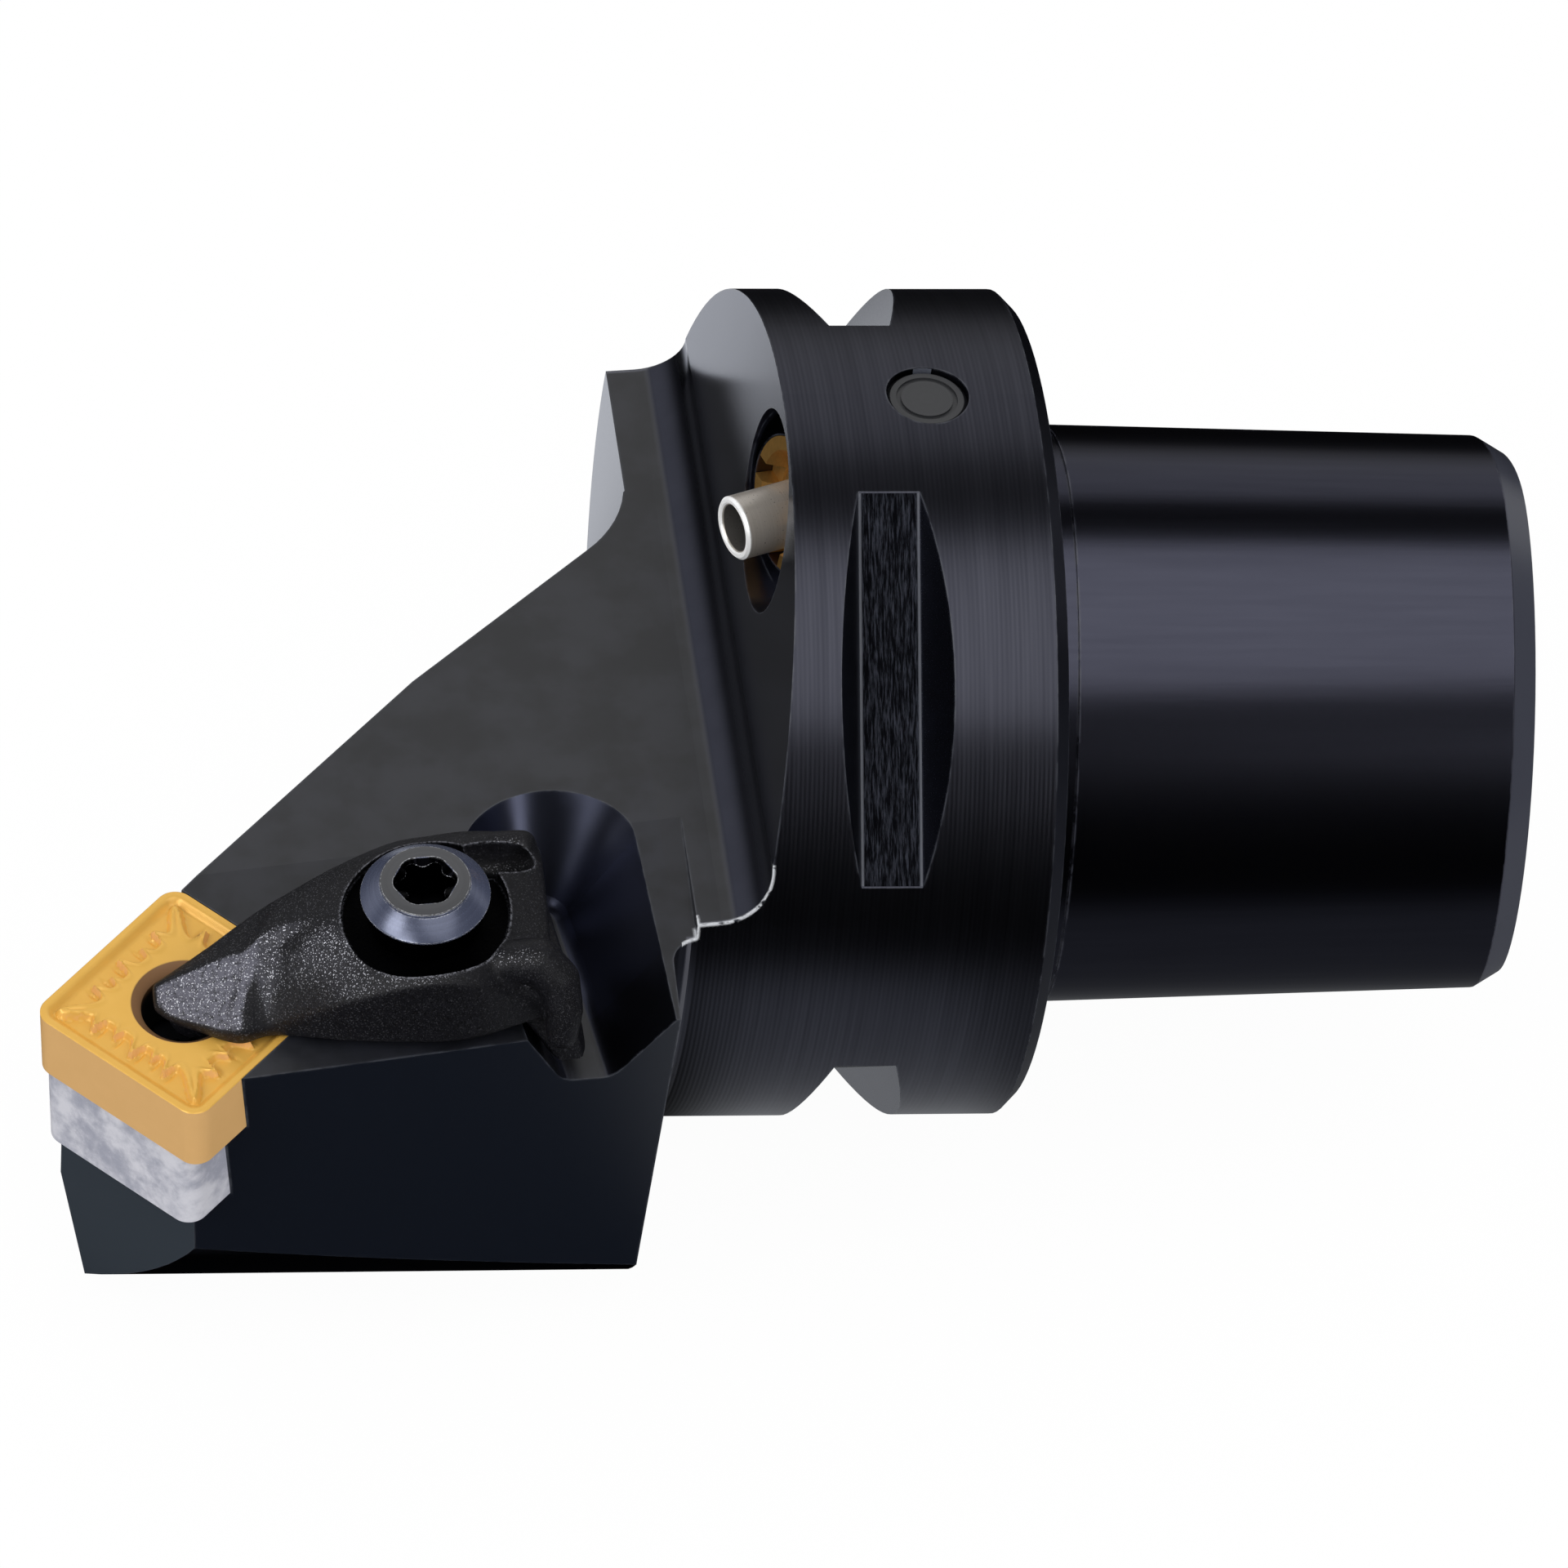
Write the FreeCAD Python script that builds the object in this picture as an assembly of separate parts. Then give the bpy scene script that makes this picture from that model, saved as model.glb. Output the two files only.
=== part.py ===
# Turning cutting unit with a polygon taper shank: a square indexable insert on a shim,
# held by a screwed finger clamp, with an adjustable coolant nozzle in the flange face.
# Units are millimetres.  The origin is on the tool axis in the gauge plane (the flange
# contact face); +X runs into the shank, -Y points to the cutting side and +Z is up from
# the rake face.
import FreeCAD, Part
import math
import os

V = FreeCAD.Vector

# Coupling: polygon taper shank and flange
FLANGE_R = 25.0            # flange radius
FLANGE_FRONT_X = -22.0     # front face of the flange disc on the far side
FLANGE_CHAMFER = 0.8
GAUGE_D = 35.0             # mean polygon diameter at the gauge plane
POLYGON_E = 1.1            # polygon eccentricity
TAPER = 1 / 20.0           # on diameter
SHANK_L = 30.0
SHANK_CHAMFER_L = 1.5      # end chamfer along the axis, the same all round the polygon
SHANK_CHAMFER_DROP = 0.85  # and its radial depth
UNDERCUT_L = 2.0           # turned relief between the shank and the gauge face
UNDERCUT_DEPTH = 0.25
FACE_RELIEF_W = 0.6        # ring recess in the gauge face round the root of the shank
FACE_RELIEF_DEPTH = 0.3
BORE_D = 21.0
BORE_MOUTH_CHAMFER = 1.5
SEGMENT_GROOVE_D = 24.6    # inner groove that the clamping segments grip
SEGMENT_GROOVE_X = (16.0, 21.5)
BORE_BOTTOM_X = -1.0
DRAWBAR_THREAD_D = 16.0    # M16 x 1.5
DRAWBAR_THREAD_PITCH = 1.5
DRAWBAR_THREAD_BOTTOM_X = -13.0

# Gripper grooves: one straight milled groove in each diagonal direction
GROOVE_CENTRE_X = -10.3
GROOVE_FLOOR_R = 22.1
GROOVE_FLOOR_W = 3.65
GROOVE_SIDE_ANGLE = 28.0   # each side wall, from the radial direction
GROOVE_ANGLES = (45.0, 135.0, 225.0, 315.0)

# Head
HEAD_R = 34.2              # turned blank
HEAD_REAR_X = -23.2
HEAD_FRONT_X = -64.0
HEAD_BOTTOM_Z = -25.7
ROOT_FILLET = 1.6          # between the flange rim and the rear face of the head
TOP_SLOPE = 0.105          # rise of the top plane per millimetre toward the shank
TOP_Z = 5.0                # top plane level at TOP_REF_X
TOP_REF_X = -21.3
TROUGH_R = 3.1             # concave fillet between the top plane and the flange wall
WALL_X = -16.85            # flange wall at the top of that fillet
RAKE_FACE_END_X = -21.7    # the lower plane beside the insert ends here
FLANK_Y = -32.6            # side flank at FLANK_REF
FLANK_REF = (-49.7, 0.5)
FLANK_SLOPE_X = 0.088
FLANK_CLEARANCE = 8.0
FRONT_FLANK_AT = 58.2      # distance of the front flank from the axis origin, at FRONT_FLANK_Z
FRONT_FLANK_Z = -9.5
FRONT_FLANK_CLEARANCE = 9.5
TOE_AT = 60.05             # small facet under the front corner, its distance from the origin
TOE_CLEARANCE = 13.0
BACK_WALL_ANGLE = 137.2    # direction the far side wall faces, in the XY plane
BACK_WALL_AT = 25.35       # its distance from the origin at the level of the top plane
BACK_WALL_LEAN = 4.0       # outward going down
BACK_WALL2_ANGLE = 131.8   # the wall turns to this direction beside the neck
BACK_WALL2_AT = 22.9
NECK_FILLET_R = 8.0        # between the far side wall and the flange front face

# Insert, shim and their pocket
INSERT_SIDE = 12.7
INSERT_T = 4.76
INSERT_NOSE_R = 1.2
INSERT_HOLE_D = 5.16
INSERT_HOLE_MOUTH_D = 6.3
LAND_W = 0.25              # flat land along the cutting edges
GROOVE_LOW_AT = 1.25       # lowest line of the chip groove, from the edge
GROOVE_END_AT = 2.3
GROOVE_DEPTH = 0.22
CORNER_OVERHANG = 51.85    # cutting corner in front of the gauge plane
CORNER_OFFSET = 35.33      # and beside the tool axis
CUTTING_CORNER = V(-CORNER_OVERHANG, -CORNER_OFFSET, 0.0)
RAKE_TILT = 8.0            # negative rake of the insert seat
SHIM_T = 6.4
SHIM_INSET = 0.25
SHIM_STEP = 0.9            # the shim is this much narrower beside the side flank
SHIM_HOLE_D = 5.6
SHIM_SINK_D = 7.4
SEAT_CLEARANCE = 0.02
CORNER_RELIEF_D = 2.4
SHIM_SCREW_HEAD_D = 6.4
SHIM_SCREW_D = 4.0
SHIM_SCREW_L = 8.5

# Clamp (u runs from the insert hole toward the shank, w is normal to the rake face)
SCREW_U = 14.2
SCREW_D = 5.0
SCREW_PITCH = 0.8
SCREW_TOP_W = 9.4
SCREW_RING_D = 5.3
SCREW_COLLAR_D = 7.8
SCREW_CONE_H = 0.75
SCREW_COLLAR_H = 0.8
SCREW_HEAD_FLOOR_W = 6.1
SCREW_END_W = -11.5
SCREW_HOLE_D = 5.7         # clearance hole in the clamp
SCREW_SOCKET_D = 3.3
SCREW_SOCKET_DEPTH = 1.9
CLAMP_RECESS_D = 9.9
# stations along the clamp: u, near half width, far half width, crest height,
# near shoulder height, far shoulder height, underside height
CLAMP_STATIONS = (
    (-1.9, 0.8, 0.8, 1.4, 0.5, 0.9, 0.0),
    (0.6, 2.6, 1.6, 2.7, 0.8, 2.1, 0.0),
    (2.9, 3.5, 2.7, 3.8, 1.0, 3.1, 0.0),
    (5.5, 3.6, 3.9, 5.0, 1.4, 4.0, 0.0),
    (9.0, 4.6, 5.0, 6.5, 2.0, 5.0, 0.6),
    (12.5, 5.4, 5.8, 7.5, 2.8, 5.8, 0.9),
    (17.0, 5.6, 6.0, 7.7, 3.2, 6.2, 0.9),
    (20.0, 5.5, 5.8, 7.3, 3.0, 6.3, 0.9),
    (21.6, 5.0, 5.0, 6.4, 2.8, 5.6, 1.0),
)
CLAMP_NOSE_D = 3.4         # round nose in the insert hole
CLAMP_NOSE_U = 0.7
CLAMP_NOSE_BOTTOM_W = -1.6
HOLLOW_R = 1.5             # channel beside the screw recess
HOLLOW_END_U = 19.9
HOLLOW_V = 3.7
HOLLOW_W = 7.2

# Slot behind the clamp, open to the side flank
SLOT_X = -29.95
SLOT_END_Y = -17.3
SLOT_TURN = 7.5            # the slot runs this far off square to the tool axis
SLOT_TOP_Z = 4.2
SLOT_TOP_HALF_W = 5.25     # at SLOT_TOP_Z
SLOT_BOTTOM_Z = -1.8
SLOT_WALL_ANGLE = 32.0     # from the vertical
SLOT_BOTTOM_R = 1.8
FOOT_GAP = 0.05            # clamp foot to the slot wall
FOOT_BOTTOM_Z = -0.4
FOOT_BACK_X = -29.7
FOOT_BACK_LEAN = 0.5       # the back is this much further forward at its top
FOOT_Y = (-30.4, -21.5)    # the foot spans the near part of the clamp
SPRING_R = 3.1             # mean coil radius
SPRING_WIRE_D = 0.7
SPRING_TURNS = 4.5
SPRING_SECTIONS = 20       # wire sections in one turn
SPRING_BOTTOM_W = -3.0
SPRING_TOP_W = 2.2
SPRING_POCKET_D = 7.4

# Coolant nozzle: a ball with a tube, held by a slotted screw ring
NOZZLE_DROP = 7.66         # centre of the ring's front face below the flange rim
NOZZLE_FRONT = V(-15.05, -1.35, FLANGE_R - NOZZLE_DROP)
NOZZLE_AXIS = V(-0.945, -0.29, 0.13)
TUBE_AXIS = V(-0.934, -0.375, 0.012)
BALL_DEPTH = 3.5           # ball centre behind the ring's front face
BALL_R = 3.4
BALL_SEAT_CLEARANCE = 0.08
TUBE_D = 3.9
TUBE_BORE_D = 2.9
TUBE_REACH = 7.2           # from the ball centre
TUBE_ROOT = -1.0           # where the tube starts inside the ball
RING_D = 8.3
RING_L = 3.2
RING_LIP_T = 2.2           # the lip that holds the ball, from the ball centre
RING_LIP_D = 5.3
RING_MOUTH_D = 6.6
RING_SLOT_W = 1.3
RING_SLOT_DEPTH = 1.1
SPOTFACE_D = 12.0
SPOTFACE_SHIFT = V(0, -1.1, 0.8)
CHANNEL_D = 3.4
SEAL_R = 2.1               # mean radius of the seal ring behind the ball
SEAL_WIRE_D = 1.0
PLUG_X = -7.2
PLUG_D = 4.95
PLUG_L = 4.0
PLUG_SINK = 0.35           # below the rim
PLUG_CHAMFER = 0.25
PLUG_GROOVE_D = 3.7        # ring mark on the end face
PLUG_GROOVE_W = 0.3
PLUG_GROOVE_DEPTH = 0.15
THREAD_CLEARANCE = 0.05


def direction(angle):
    a = math.radians(angle)
    return V(math.cos(a), math.sin(a), 0)


tilt = math.radians(RAKE_TILT)
# insert frame: normal, edge toward the front corner, edge toward the pocket corner
RAKE_N = V(-math.sin(tilt) / math.sqrt(2), -math.sin(tilt) / math.sqrt(2), math.cos(tilt))
EDGE_1 = direction(135.0)
EDGE_2 = EDGE_1.cross(RAKE_N)
HOLE_CENTRE = CUTTING_CORNER + (EDGE_1 + EDGE_2) * (INSERT_SIDE / 2)
CLAMP_U = (EDGE_2 - EDGE_1).normalize()
NOZZLE_AXIS.normalize()
TUBE_AXIS.normalize()
BALL_CENTRE = NOZZLE_FRONT - NOZZLE_AXIS * BALL_DEPTH


def rake_frame(u=0.0, turn=0.0):
    # local x runs from the insert hole toward the shank, local z is normal to the rake face
    across = RAKE_N.cross(CLAMP_U)
    base = FreeCAD.Placement(HOLE_CENTRE, FreeCAD.Rotation(CLAMP_U, across, RAKE_N, "ZXY"))
    step = FreeCAD.Placement(V(u, 0, 0), FreeCAD.Rotation(V(0, 0, 1), turn))
    return base.multiply(step)


def in_frame(shape, frame):
    shape.Placement = frame.multiply(shape.Placement)
    return shape


def disc(diameter, z0, z1):
    return Part.makeCylinder(diameter / 2, z1 - z0, V(0, 0, z0))


def frustum(d0, d1, z0, z1):
    return Part.makeCone(d0 / 2, d1 / 2, z1 - z0, V(0, 0, z0))


def x_cylinder(radius, x0, x1):
    return Part.makeCylinder(radius, x1 - x0, V(x0, 0, 0), V(1, 0, 0))


def face_of(points):
    return Part.Face(Part.makePolygon(points + [points[0]]))


def half_space(normal, offset, size=160.0):
    # block filling normal . p > offset
    n = V(normal.x, normal.y, normal.z).normalize()
    block = Part.makeBox(size, size, size, V(-size / 2, -size / 2, 0))
    block.Placement = FreeCAD.Placement(n * offset, FreeCAD.Rotation(V(0, 0, 1), n))
    return block


def square_plate(side, z0, z1, corner_r):
    plate = Part.makeBox(side, side, z1 - z0, V(-side / 2, -side / 2, z0))
    upright = [e for e in plate.Edges if abs(e.tangentAt(e.FirstParameter).z) > 0.9]
    return plate.makeFillet(corner_r, upright)


def six_lobe(size, z0, z1):
    socket = disc(size * 0.78, z0, z1)
    for i in range(6):
        a = math.radians(60 * i)
        lobe = disc(size * 0.26, z0, z1)
        lobe.translate(V(math.cos(a), math.sin(a), 0) * (size * 0.37))
        socket = socket.fuse(lobe)
    return socket


def polygon_wire(mean_d, x):
    points = []
    count = 72
    for i in range(count):
        a = 2 * math.pi * i / count
        lobe = 3 * (a - math.pi / 2)
        p = mean_d / 2 + POLYGON_E * math.cos(lobe)
        dp = -3 * POLYGON_E * math.sin(lobe)
        points.append(V(x, p * math.cos(a) - dp * math.sin(a), p * math.sin(a) + dp * math.cos(a)))
    curve = Part.BSplineCurve()
    curve.interpolate(points, PeriodicFlag=True)
    return Part.Wire([curve.toShape()])


def polygon_prism(mean_d0, mean_d1, x0, x1):
    return Part.makeLoft([polygon_wire(mean_d0, x0), polygon_wire(mean_d1, x1)], True, True)


def make_shank():
    end_d = GAUGE_D - TAPER * SHANK_L
    chamfer_x = SHANK_L - SHANK_CHAMFER_L
    chamfer_d = GAUGE_D - TAPER * chamfer_x
    shank = polygon_prism(GAUGE_D, chamfer_d, 0, chamfer_x)
    shank = shank.fuse(polygon_prism(chamfer_d, end_d - 2 * SHANK_CHAMFER_DROP, chamfer_x, SHANK_L))
    return shank.cut(x_cylinder(GAUGE_D, 0, UNDERCUT_L).cut(undercut_core()))


def undercut_core():
    core_d = GAUGE_D - 2 * UNDERCUT_DEPTH
    return polygon_prism(core_d, core_d, -1, UNDERCUT_L + 1)


def face_relief():
    # the gauge face starts clear of the widest outline of the shank
    outer_d = GAUGE_D + 2 * FACE_RELIEF_W
    return polygon_prism(outer_d, outer_d, -FACE_RELIEF_DEPTH, UNDERCUT_L / 2).cut(undercut_core())


def head_plan():
    # plan of the head: a straight wall on the far side, turned into the flange face by a fillet
    n = direction(BACK_WALL2_ANGLE)
    r = NECK_FILLET_R
    cx = FLANGE_FRONT_X - r
    centre = V(cx, (BACK_WALL2_AT + r - n.x * cx) / n.y, 0)
    start = centre - n * r
    end = V(FLANGE_FRONT_X, centre.y, 0)
    middle = centre + ((start + end) * 0.5 - centre).normalize() * r
    back = start + V(-n.y, n.x, 0) * 70
    inner = end + V(4, 0, 0)
    corners = [inner, V(inner.x, -70, 0), V(back.x, -70, 0), back, start]
    edges = [Part.makeLine(a, b) for a, b in zip(corners, corners[1:])]
    edges.append(Part.Arc(start, middle, end).toShape())
    edges.append(Part.makeLine(end, inner))
    return Part.Face(Part.Wire(edges))


def make_head():
    plan = head_plan()
    plan.translate(V(0, 0, -2 * HEAD_R))
    prism = plan.extrude(V(0, 0, 4 * HEAD_R))
    blank = x_cylinder(HEAD_R, HEAD_FRONT_X, HEAD_REAR_X)
    blank = blank.fuse(x_cylinder(FLANGE_R, HEAD_REAR_X - 1, FLANGE_FRONT_X + 1))
    # concave fillet from the flange rim up to the rear face of the head
    x, r = HEAD_REAR_X, ROOT_FILLET
    half = math.sqrt(0.5)
    arc = Part.Arc(V(x, FLANGE_R + r, 0), V(x + r - r * half, FLANGE_R + r - r * half, 0),
                   V(x + r, FLANGE_R, 0)).toShape()
    rim = [V(x + r, FLANGE_R, 0), V(x + r, FLANGE_R - 1, 0), V(x - 1, FLANGE_R - 1, 0),
           V(x - 1, FLANGE_R + r, 0), V(x, FLANGE_R + r, 0)]
    wire = Part.Wire([arc] + [Part.makeLine(a, b) for a, b in zip(rim, rim[1:])])
    root = Part.Face(wire).revolve(V(0, 0, 0), V(1, 0, 0), 360)
    head = blank.fuse(root).common(prism)
    clearance = math.tan(math.radians(FLANK_CLEARANCE))
    flank_n = V(-FLANK_SLOPE_X, 1, clearance)
    flank_at = FLANK_Y - FLANK_SLOPE_X * FLANK_REF[0] + clearance * FLANK_REF[1]
    head = head.cut(half_space(flank_n * -1, -flank_at / flank_n.Length))
    c = math.radians(FRONT_FLANK_CLEARANCE)
    front_n = direction(225.0) * math.cos(c) - V(0, 0, math.sin(c))
    front_at = FRONT_FLANK_AT * math.cos(c) - FRONT_FLANK_Z * math.sin(c)
    head = head.cut(half_space(front_n, front_at))
    c = math.radians(TOE_CLEARANCE)
    head = head.cut(half_space(V(-math.cos(c), 0, -math.sin(c)), TOE_AT))
    lean = math.radians(BACK_WALL_LEAN)
    back_n = direction(BACK_WALL_ANGLE) * math.cos(lean) + V(0, 0, math.sin(lean))
    back_at = BACK_WALL_AT * math.cos(lean) + TOP_Z * math.sin(lean)
    head = head.cut(half_space(back_n, back_at))
    return head.cut(half_space(V(0, 0, -1), -HEAD_BOTTOM_Z))


def top_z(x):
    return TOP_Z + TOP_SLOPE * (x - TOP_REF_X)


def top_cutter():
    # everything above the top plane and in front of the flange wall, joined by a fillet
    r = TROUGH_R
    along = V(1, 0, TOP_SLOPE).normalize()
    up = V(-TOP_SLOPE, 0, 1).normalize()
    corner = V(WALL_X - TOP_SLOPE * r, 0, top_z(WALL_X))
    centre = corner - along * r + up * r
    floor, wall = centre - up * r, centre + along * r
    middle = centre + (along - up).normalize() * r
    far = floor - along * 60
    points = [wall + V(0.9 * TOP_SLOPE, 0, 1) * 40, far + up * 60, far, floor]
    edges = [Part.makeLine(wall, points[0])]
    edges += [Part.makeLine(a, b) for a, b in zip(points, points[1:])]
    edges.append(Part.Arc(floor, middle, wall).toShape())
    face = Part.Face(Part.Wire(edges))
    face.translate(V(0, -60, 0))
    return face.extrude(V(0, 120, 0))


def rake_plane_cutter():
    # the lower plane around the insert, level with its rake face
    block = half_space(RAKE_N, RAKE_N.dot(CUTTING_CORNER))
    span = 2 * HEAD_R
    return block.common(Part.makeBox(span, 2 * span, 2 * span, V(RAKE_FACE_END_X - span, -span, -span)))


def gripper_groove(angle):
    rise = FLANGE_R + 4 - GROOVE_FLOOR_R
    half = GROOVE_FLOOR_W / 2
    spread = half + rise * math.tan(math.radians(GROOVE_SIDE_ANGLE))
    x, r = GROOVE_CENTRE_X, GROOVE_FLOOR_R
    points = [V(x - half, -30, r), V(x + half, -30, r),
              V(x + spread, -30, r + rise), V(x - spread, -30, r + rise)]
    groove = face_of(points).extrude(V(0, 60, 0))
    groove.rotate(V(0, 0, 0), V(1, 0, 0), angle - 90)
    return groove


def slot_half_width(z):
    return SLOT_TOP_HALF_W - (SLOT_TOP_Z - z) * math.tan(math.radians(SLOT_WALL_ANGLE))


def slot_cutter():
    # a taper milled slot with a rounded end, running out through the side flank
    top = SLOT_TOP_Z + 1.2
    wall_top, wall_low = slot_half_width(top), slot_half_width(SLOT_BOTTOM_Z)
    cone = Part.makeCone(wall_low, wall_top, top - SLOT_BOTTOM_Z, V(0, 0, SLOT_BOTTOM_Z))
    rim = [e for e in cone.Edges if e.Length > 0 and abs(e.BoundBox.ZMax - SLOT_BOTTOM_Z) < 0.01]
    fillet = min(SLOT_BOTTOM_R, wall_low * 0.95)
    cone = cone.makeFillet(fillet, rim)
    section = [V(-wall_low, 0, SLOT_BOTTOM_Z), V(wall_low, 0, SLOT_BOTTOM_Z),
               V(wall_top, 0, top), V(-wall_top, 0, top)]
    run = face_of(section).extrude(V(0, -26, 0))
    low = [e for e in run.Edges if abs(e.BoundBox.ZMax - SLOT_BOTTOM_Z) < 0.01
           and e.BoundBox.YLength > 20]
    run = run.makeFillet(fillet, low)
    slot = cone.fuse(run)
    slot.rotate(V(0, 0, 0), V(0, 0, 1), SLOT_TURN)
    slot.translate(V(SLOT_X, SLOT_END_Y, 0))
    return slot


def pocket_cutter():
    depth = INSERT_T + SHIM_T
    c = SEAT_CLEARANCE
    # corner of the pocket walls is at local (+u): build it square, then turn it
    span = 3 * INSERT_SIDE
    block = Part.makeBox(span, span, depth + INSERT_SIDE, V(0, 0, -depth))
    block.translate(V(-INSERT_SIDE / 2 - c, -span + INSERT_SIDE / 2 + c, 0))
    ledge = Part.makeBox(span, SHIM_STEP, SHIM_T, V(-INSERT_SIDE / 2 - c, 0, -depth))
    ledge.translate(V(0, INSERT_SIDE / 2 - SHIM_STEP + c, 0))
    block = block.cut(ledge)
    relief = disc(CORNER_RELIEF_D, -depth, 1)
    relief.translate(V(-INSERT_SIDE / 2, INSERT_SIDE / 2, 0))
    cutter = block.fuse(relief)
    cutter.rotate(V(0, 0, 0), V(0, 0, 1), 225)
    return in_frame(cutter, rake_frame())


def make_holder_body():
    flange = x_cylinder(FLANGE_R, FLANGE_FRONT_X, 0)
    rear = [e for e in flange.Edges if abs(e.BoundBox.XMin) < 0.01 and abs(e.BoundBox.XMax) < 0.01]
    flange = flange.makeChamfer(FLANGE_CHAMFER, rear)
    body = flange.fuse(make_head()).fuse(make_shank())
    body = body.cut(face_relief()).cut(top_cutter()).cut(rake_plane_cutter())
    for angle in GROOVE_ANGLES:
        body = body.cut(gripper_groove(angle))
    body = body.cut(slot_cutter()).cut(pocket_cutter())
    # inner bore with the segment groove and the drawbar thread
    inner = x_cylinder(BORE_D / 2, BORE_BOTTOM_X, SHANK_L + 1)
    inner = inner.fuse(x_cylinder(SEGMENT_GROOVE_D / 2, SEGMENT_GROOVE_X[0], SEGMENT_GROOVE_X[1]))
    m = BORE_MOUTH_CHAMFER
    inner = inner.fuse(Part.makeCone(BORE_D / 2, BORE_D / 2 + m, m, V(SHANK_L - m, 0, 0), V(1, 0, 0)))
    inner = inner.fuse(x_cylinder(DRAWBAR_THREAD_D / 2, DRAWBAR_THREAD_BOTTOM_X, 0))
    body = body.cut(inner)
    # clamp screw thread, spring pocket and shim screw thread
    body = body.cut(in_frame(disc(SCREW_D + 2 * THREAD_CLEARANCE, SCREW_END_W - 1, SCREW_TOP_W),
                             rake_frame(SCREW_U)))
    body = body.cut(in_frame(disc(SPRING_POCKET_D, SPRING_BOTTOM_W, SCREW_TOP_W), rake_frame(SCREW_U)))
    shim_floor = -(INSERT_T + SHIM_T)
    body = body.cut(in_frame(disc(SHIM_SCREW_D + 2 * THREAD_CLEARANCE,
                                  shim_floor - SHIM_SCREW_L, 0), rake_frame()))
    for cutter in nozzle_cutters():
        body = body.cut(cutter)
    return body.removeSplitter()


def nozzle_frame(origin, axis):
    return FreeCAD.Placement(origin, FreeCAD.Rotation(V(0, 0, 1), axis))


def seal_reach():
    # distance of the seal ring behind the ball centre
    return math.sqrt((BALL_R + SEAL_WIRE_D / 2) ** 2 - SEAL_R ** 2) + BALL_SEAT_CLEARANCE


def nozzle_cutters():
    frame = nozzle_frame(BALL_CENTRE, NOZZLE_AXIS)
    back = BALL_DEPTH - RING_L
    seat = Part.makeSphere(BALL_R + BALL_SEAT_CLEARANCE)
    shapes = [disc(RING_D + 2 * THREAD_CLEARANCE, back, BALL_DEPTH),
              disc(SPOTFACE_D, BALL_DEPTH, 14),
              seat.fuse(disc(2 * (BALL_R + BALL_SEAT_CLEARANCE), 0, back)),
              disc(2 * SEAL_R + SEAL_WIRE_D, -seal_reach() - SEAL_WIRE_D / 2, 0),
              disc(CHANNEL_D, -8, 0)]
    cutters = [in_frame(s, frame) for s in shapes]
    # the spotface is off centre, its floor stays level with the ring's front face
    cutters[1].translate(SPOTFACE_SHIFT - NOZZLE_AXIS * NOZZLE_AXIS.dot(SPOTFACE_SHIFT))
    cutters.append(Part.makeCylinder(PLUG_D / 2, PLUG_L + PLUG_SINK + 2,
                                     V(PLUG_X, 0, FLANGE_R - PLUG_SINK - PLUG_L)))
    # the cross drilling starts inside the drawbar thread and ends at the plug
    start = (DRAWBAR_THREAD_D - CHANNEL_D) / 2
    cutters.append(Part.makeCylinder(CHANNEL_D / 2, FLANGE_R - PLUG_SINK - PLUG_L - start,
                                     V(PLUG_X, 0, start)))
    return cutters


def make_channel_plug():
    top = FLANGE_R - PLUG_SINK
    plug = disc(PLUG_D, top - PLUG_L, top - PLUG_CHAMFER)
    plug = plug.fuse(frustum(PLUG_D, PLUG_D - 2 * PLUG_CHAMFER, top - PLUG_CHAMFER, top))
    mark = disc(PLUG_GROOVE_D, top - PLUG_GROOVE_DEPTH, top + 1)
    mark = mark.cut(disc(PLUG_GROOVE_D - 2 * PLUG_GROOVE_W, top - PLUG_GROOVE_DEPTH - 1, top + 1))
    plug = plug.cut(mark)
    plug.translate(V(PLUG_X, 0, 0))
    return plug


def square_outline(inset, z):
    # outline of the insert drawn in by an inset
    corner_r = max(INSERT_NOSE_R - 0.4 * inset, 0.4)
    plate = square_plate(INSERT_SIDE - 2 * inset, z - 1, z, corner_r)
    return max(plate.Faces, key=lambda f: f.CenterOfMass.z).OuterWire


def chip_groove():
    # a sloping trench behind a narrow land, all round one face
    basin = Part.makeLoft([square_outline(LAND_W, 0), square_outline(GROOVE_LOW_AT, -GROOVE_DEPTH)],
                          True, True)
    island = Part.makeLoft([square_outline(GROOVE_LOW_AT, -GROOVE_DEPTH), square_outline(GROOVE_END_AT, 0)],
                           True, True)
    return basin.cut(island)


def make_insert():
    t = INSERT_T
    groove = chip_groove()
    under = groove.copy()
    under.rotate(V(0, 0, -t / 2), V(1, 0, 0), 180)
    insert = square_plate(INSERT_SIDE, -t, 0, INSERT_NOSE_R).cut(groove).cut(under)
    bevel = (INSERT_HOLE_MOUTH_D - INSERT_HOLE_D) / 2
    hole = disc(INSERT_HOLE_D, -t, 0)
    hole = hole.fuse(frustum(INSERT_HOLE_D, INSERT_HOLE_MOUTH_D, -bevel, 0))
    hole = hole.fuse(frustum(INSERT_HOLE_MOUTH_D, INSERT_HOLE_D, -t, -t + bevel))
    return in_frame(insert.cut(hole), rake_frame(0, 45))


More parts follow.
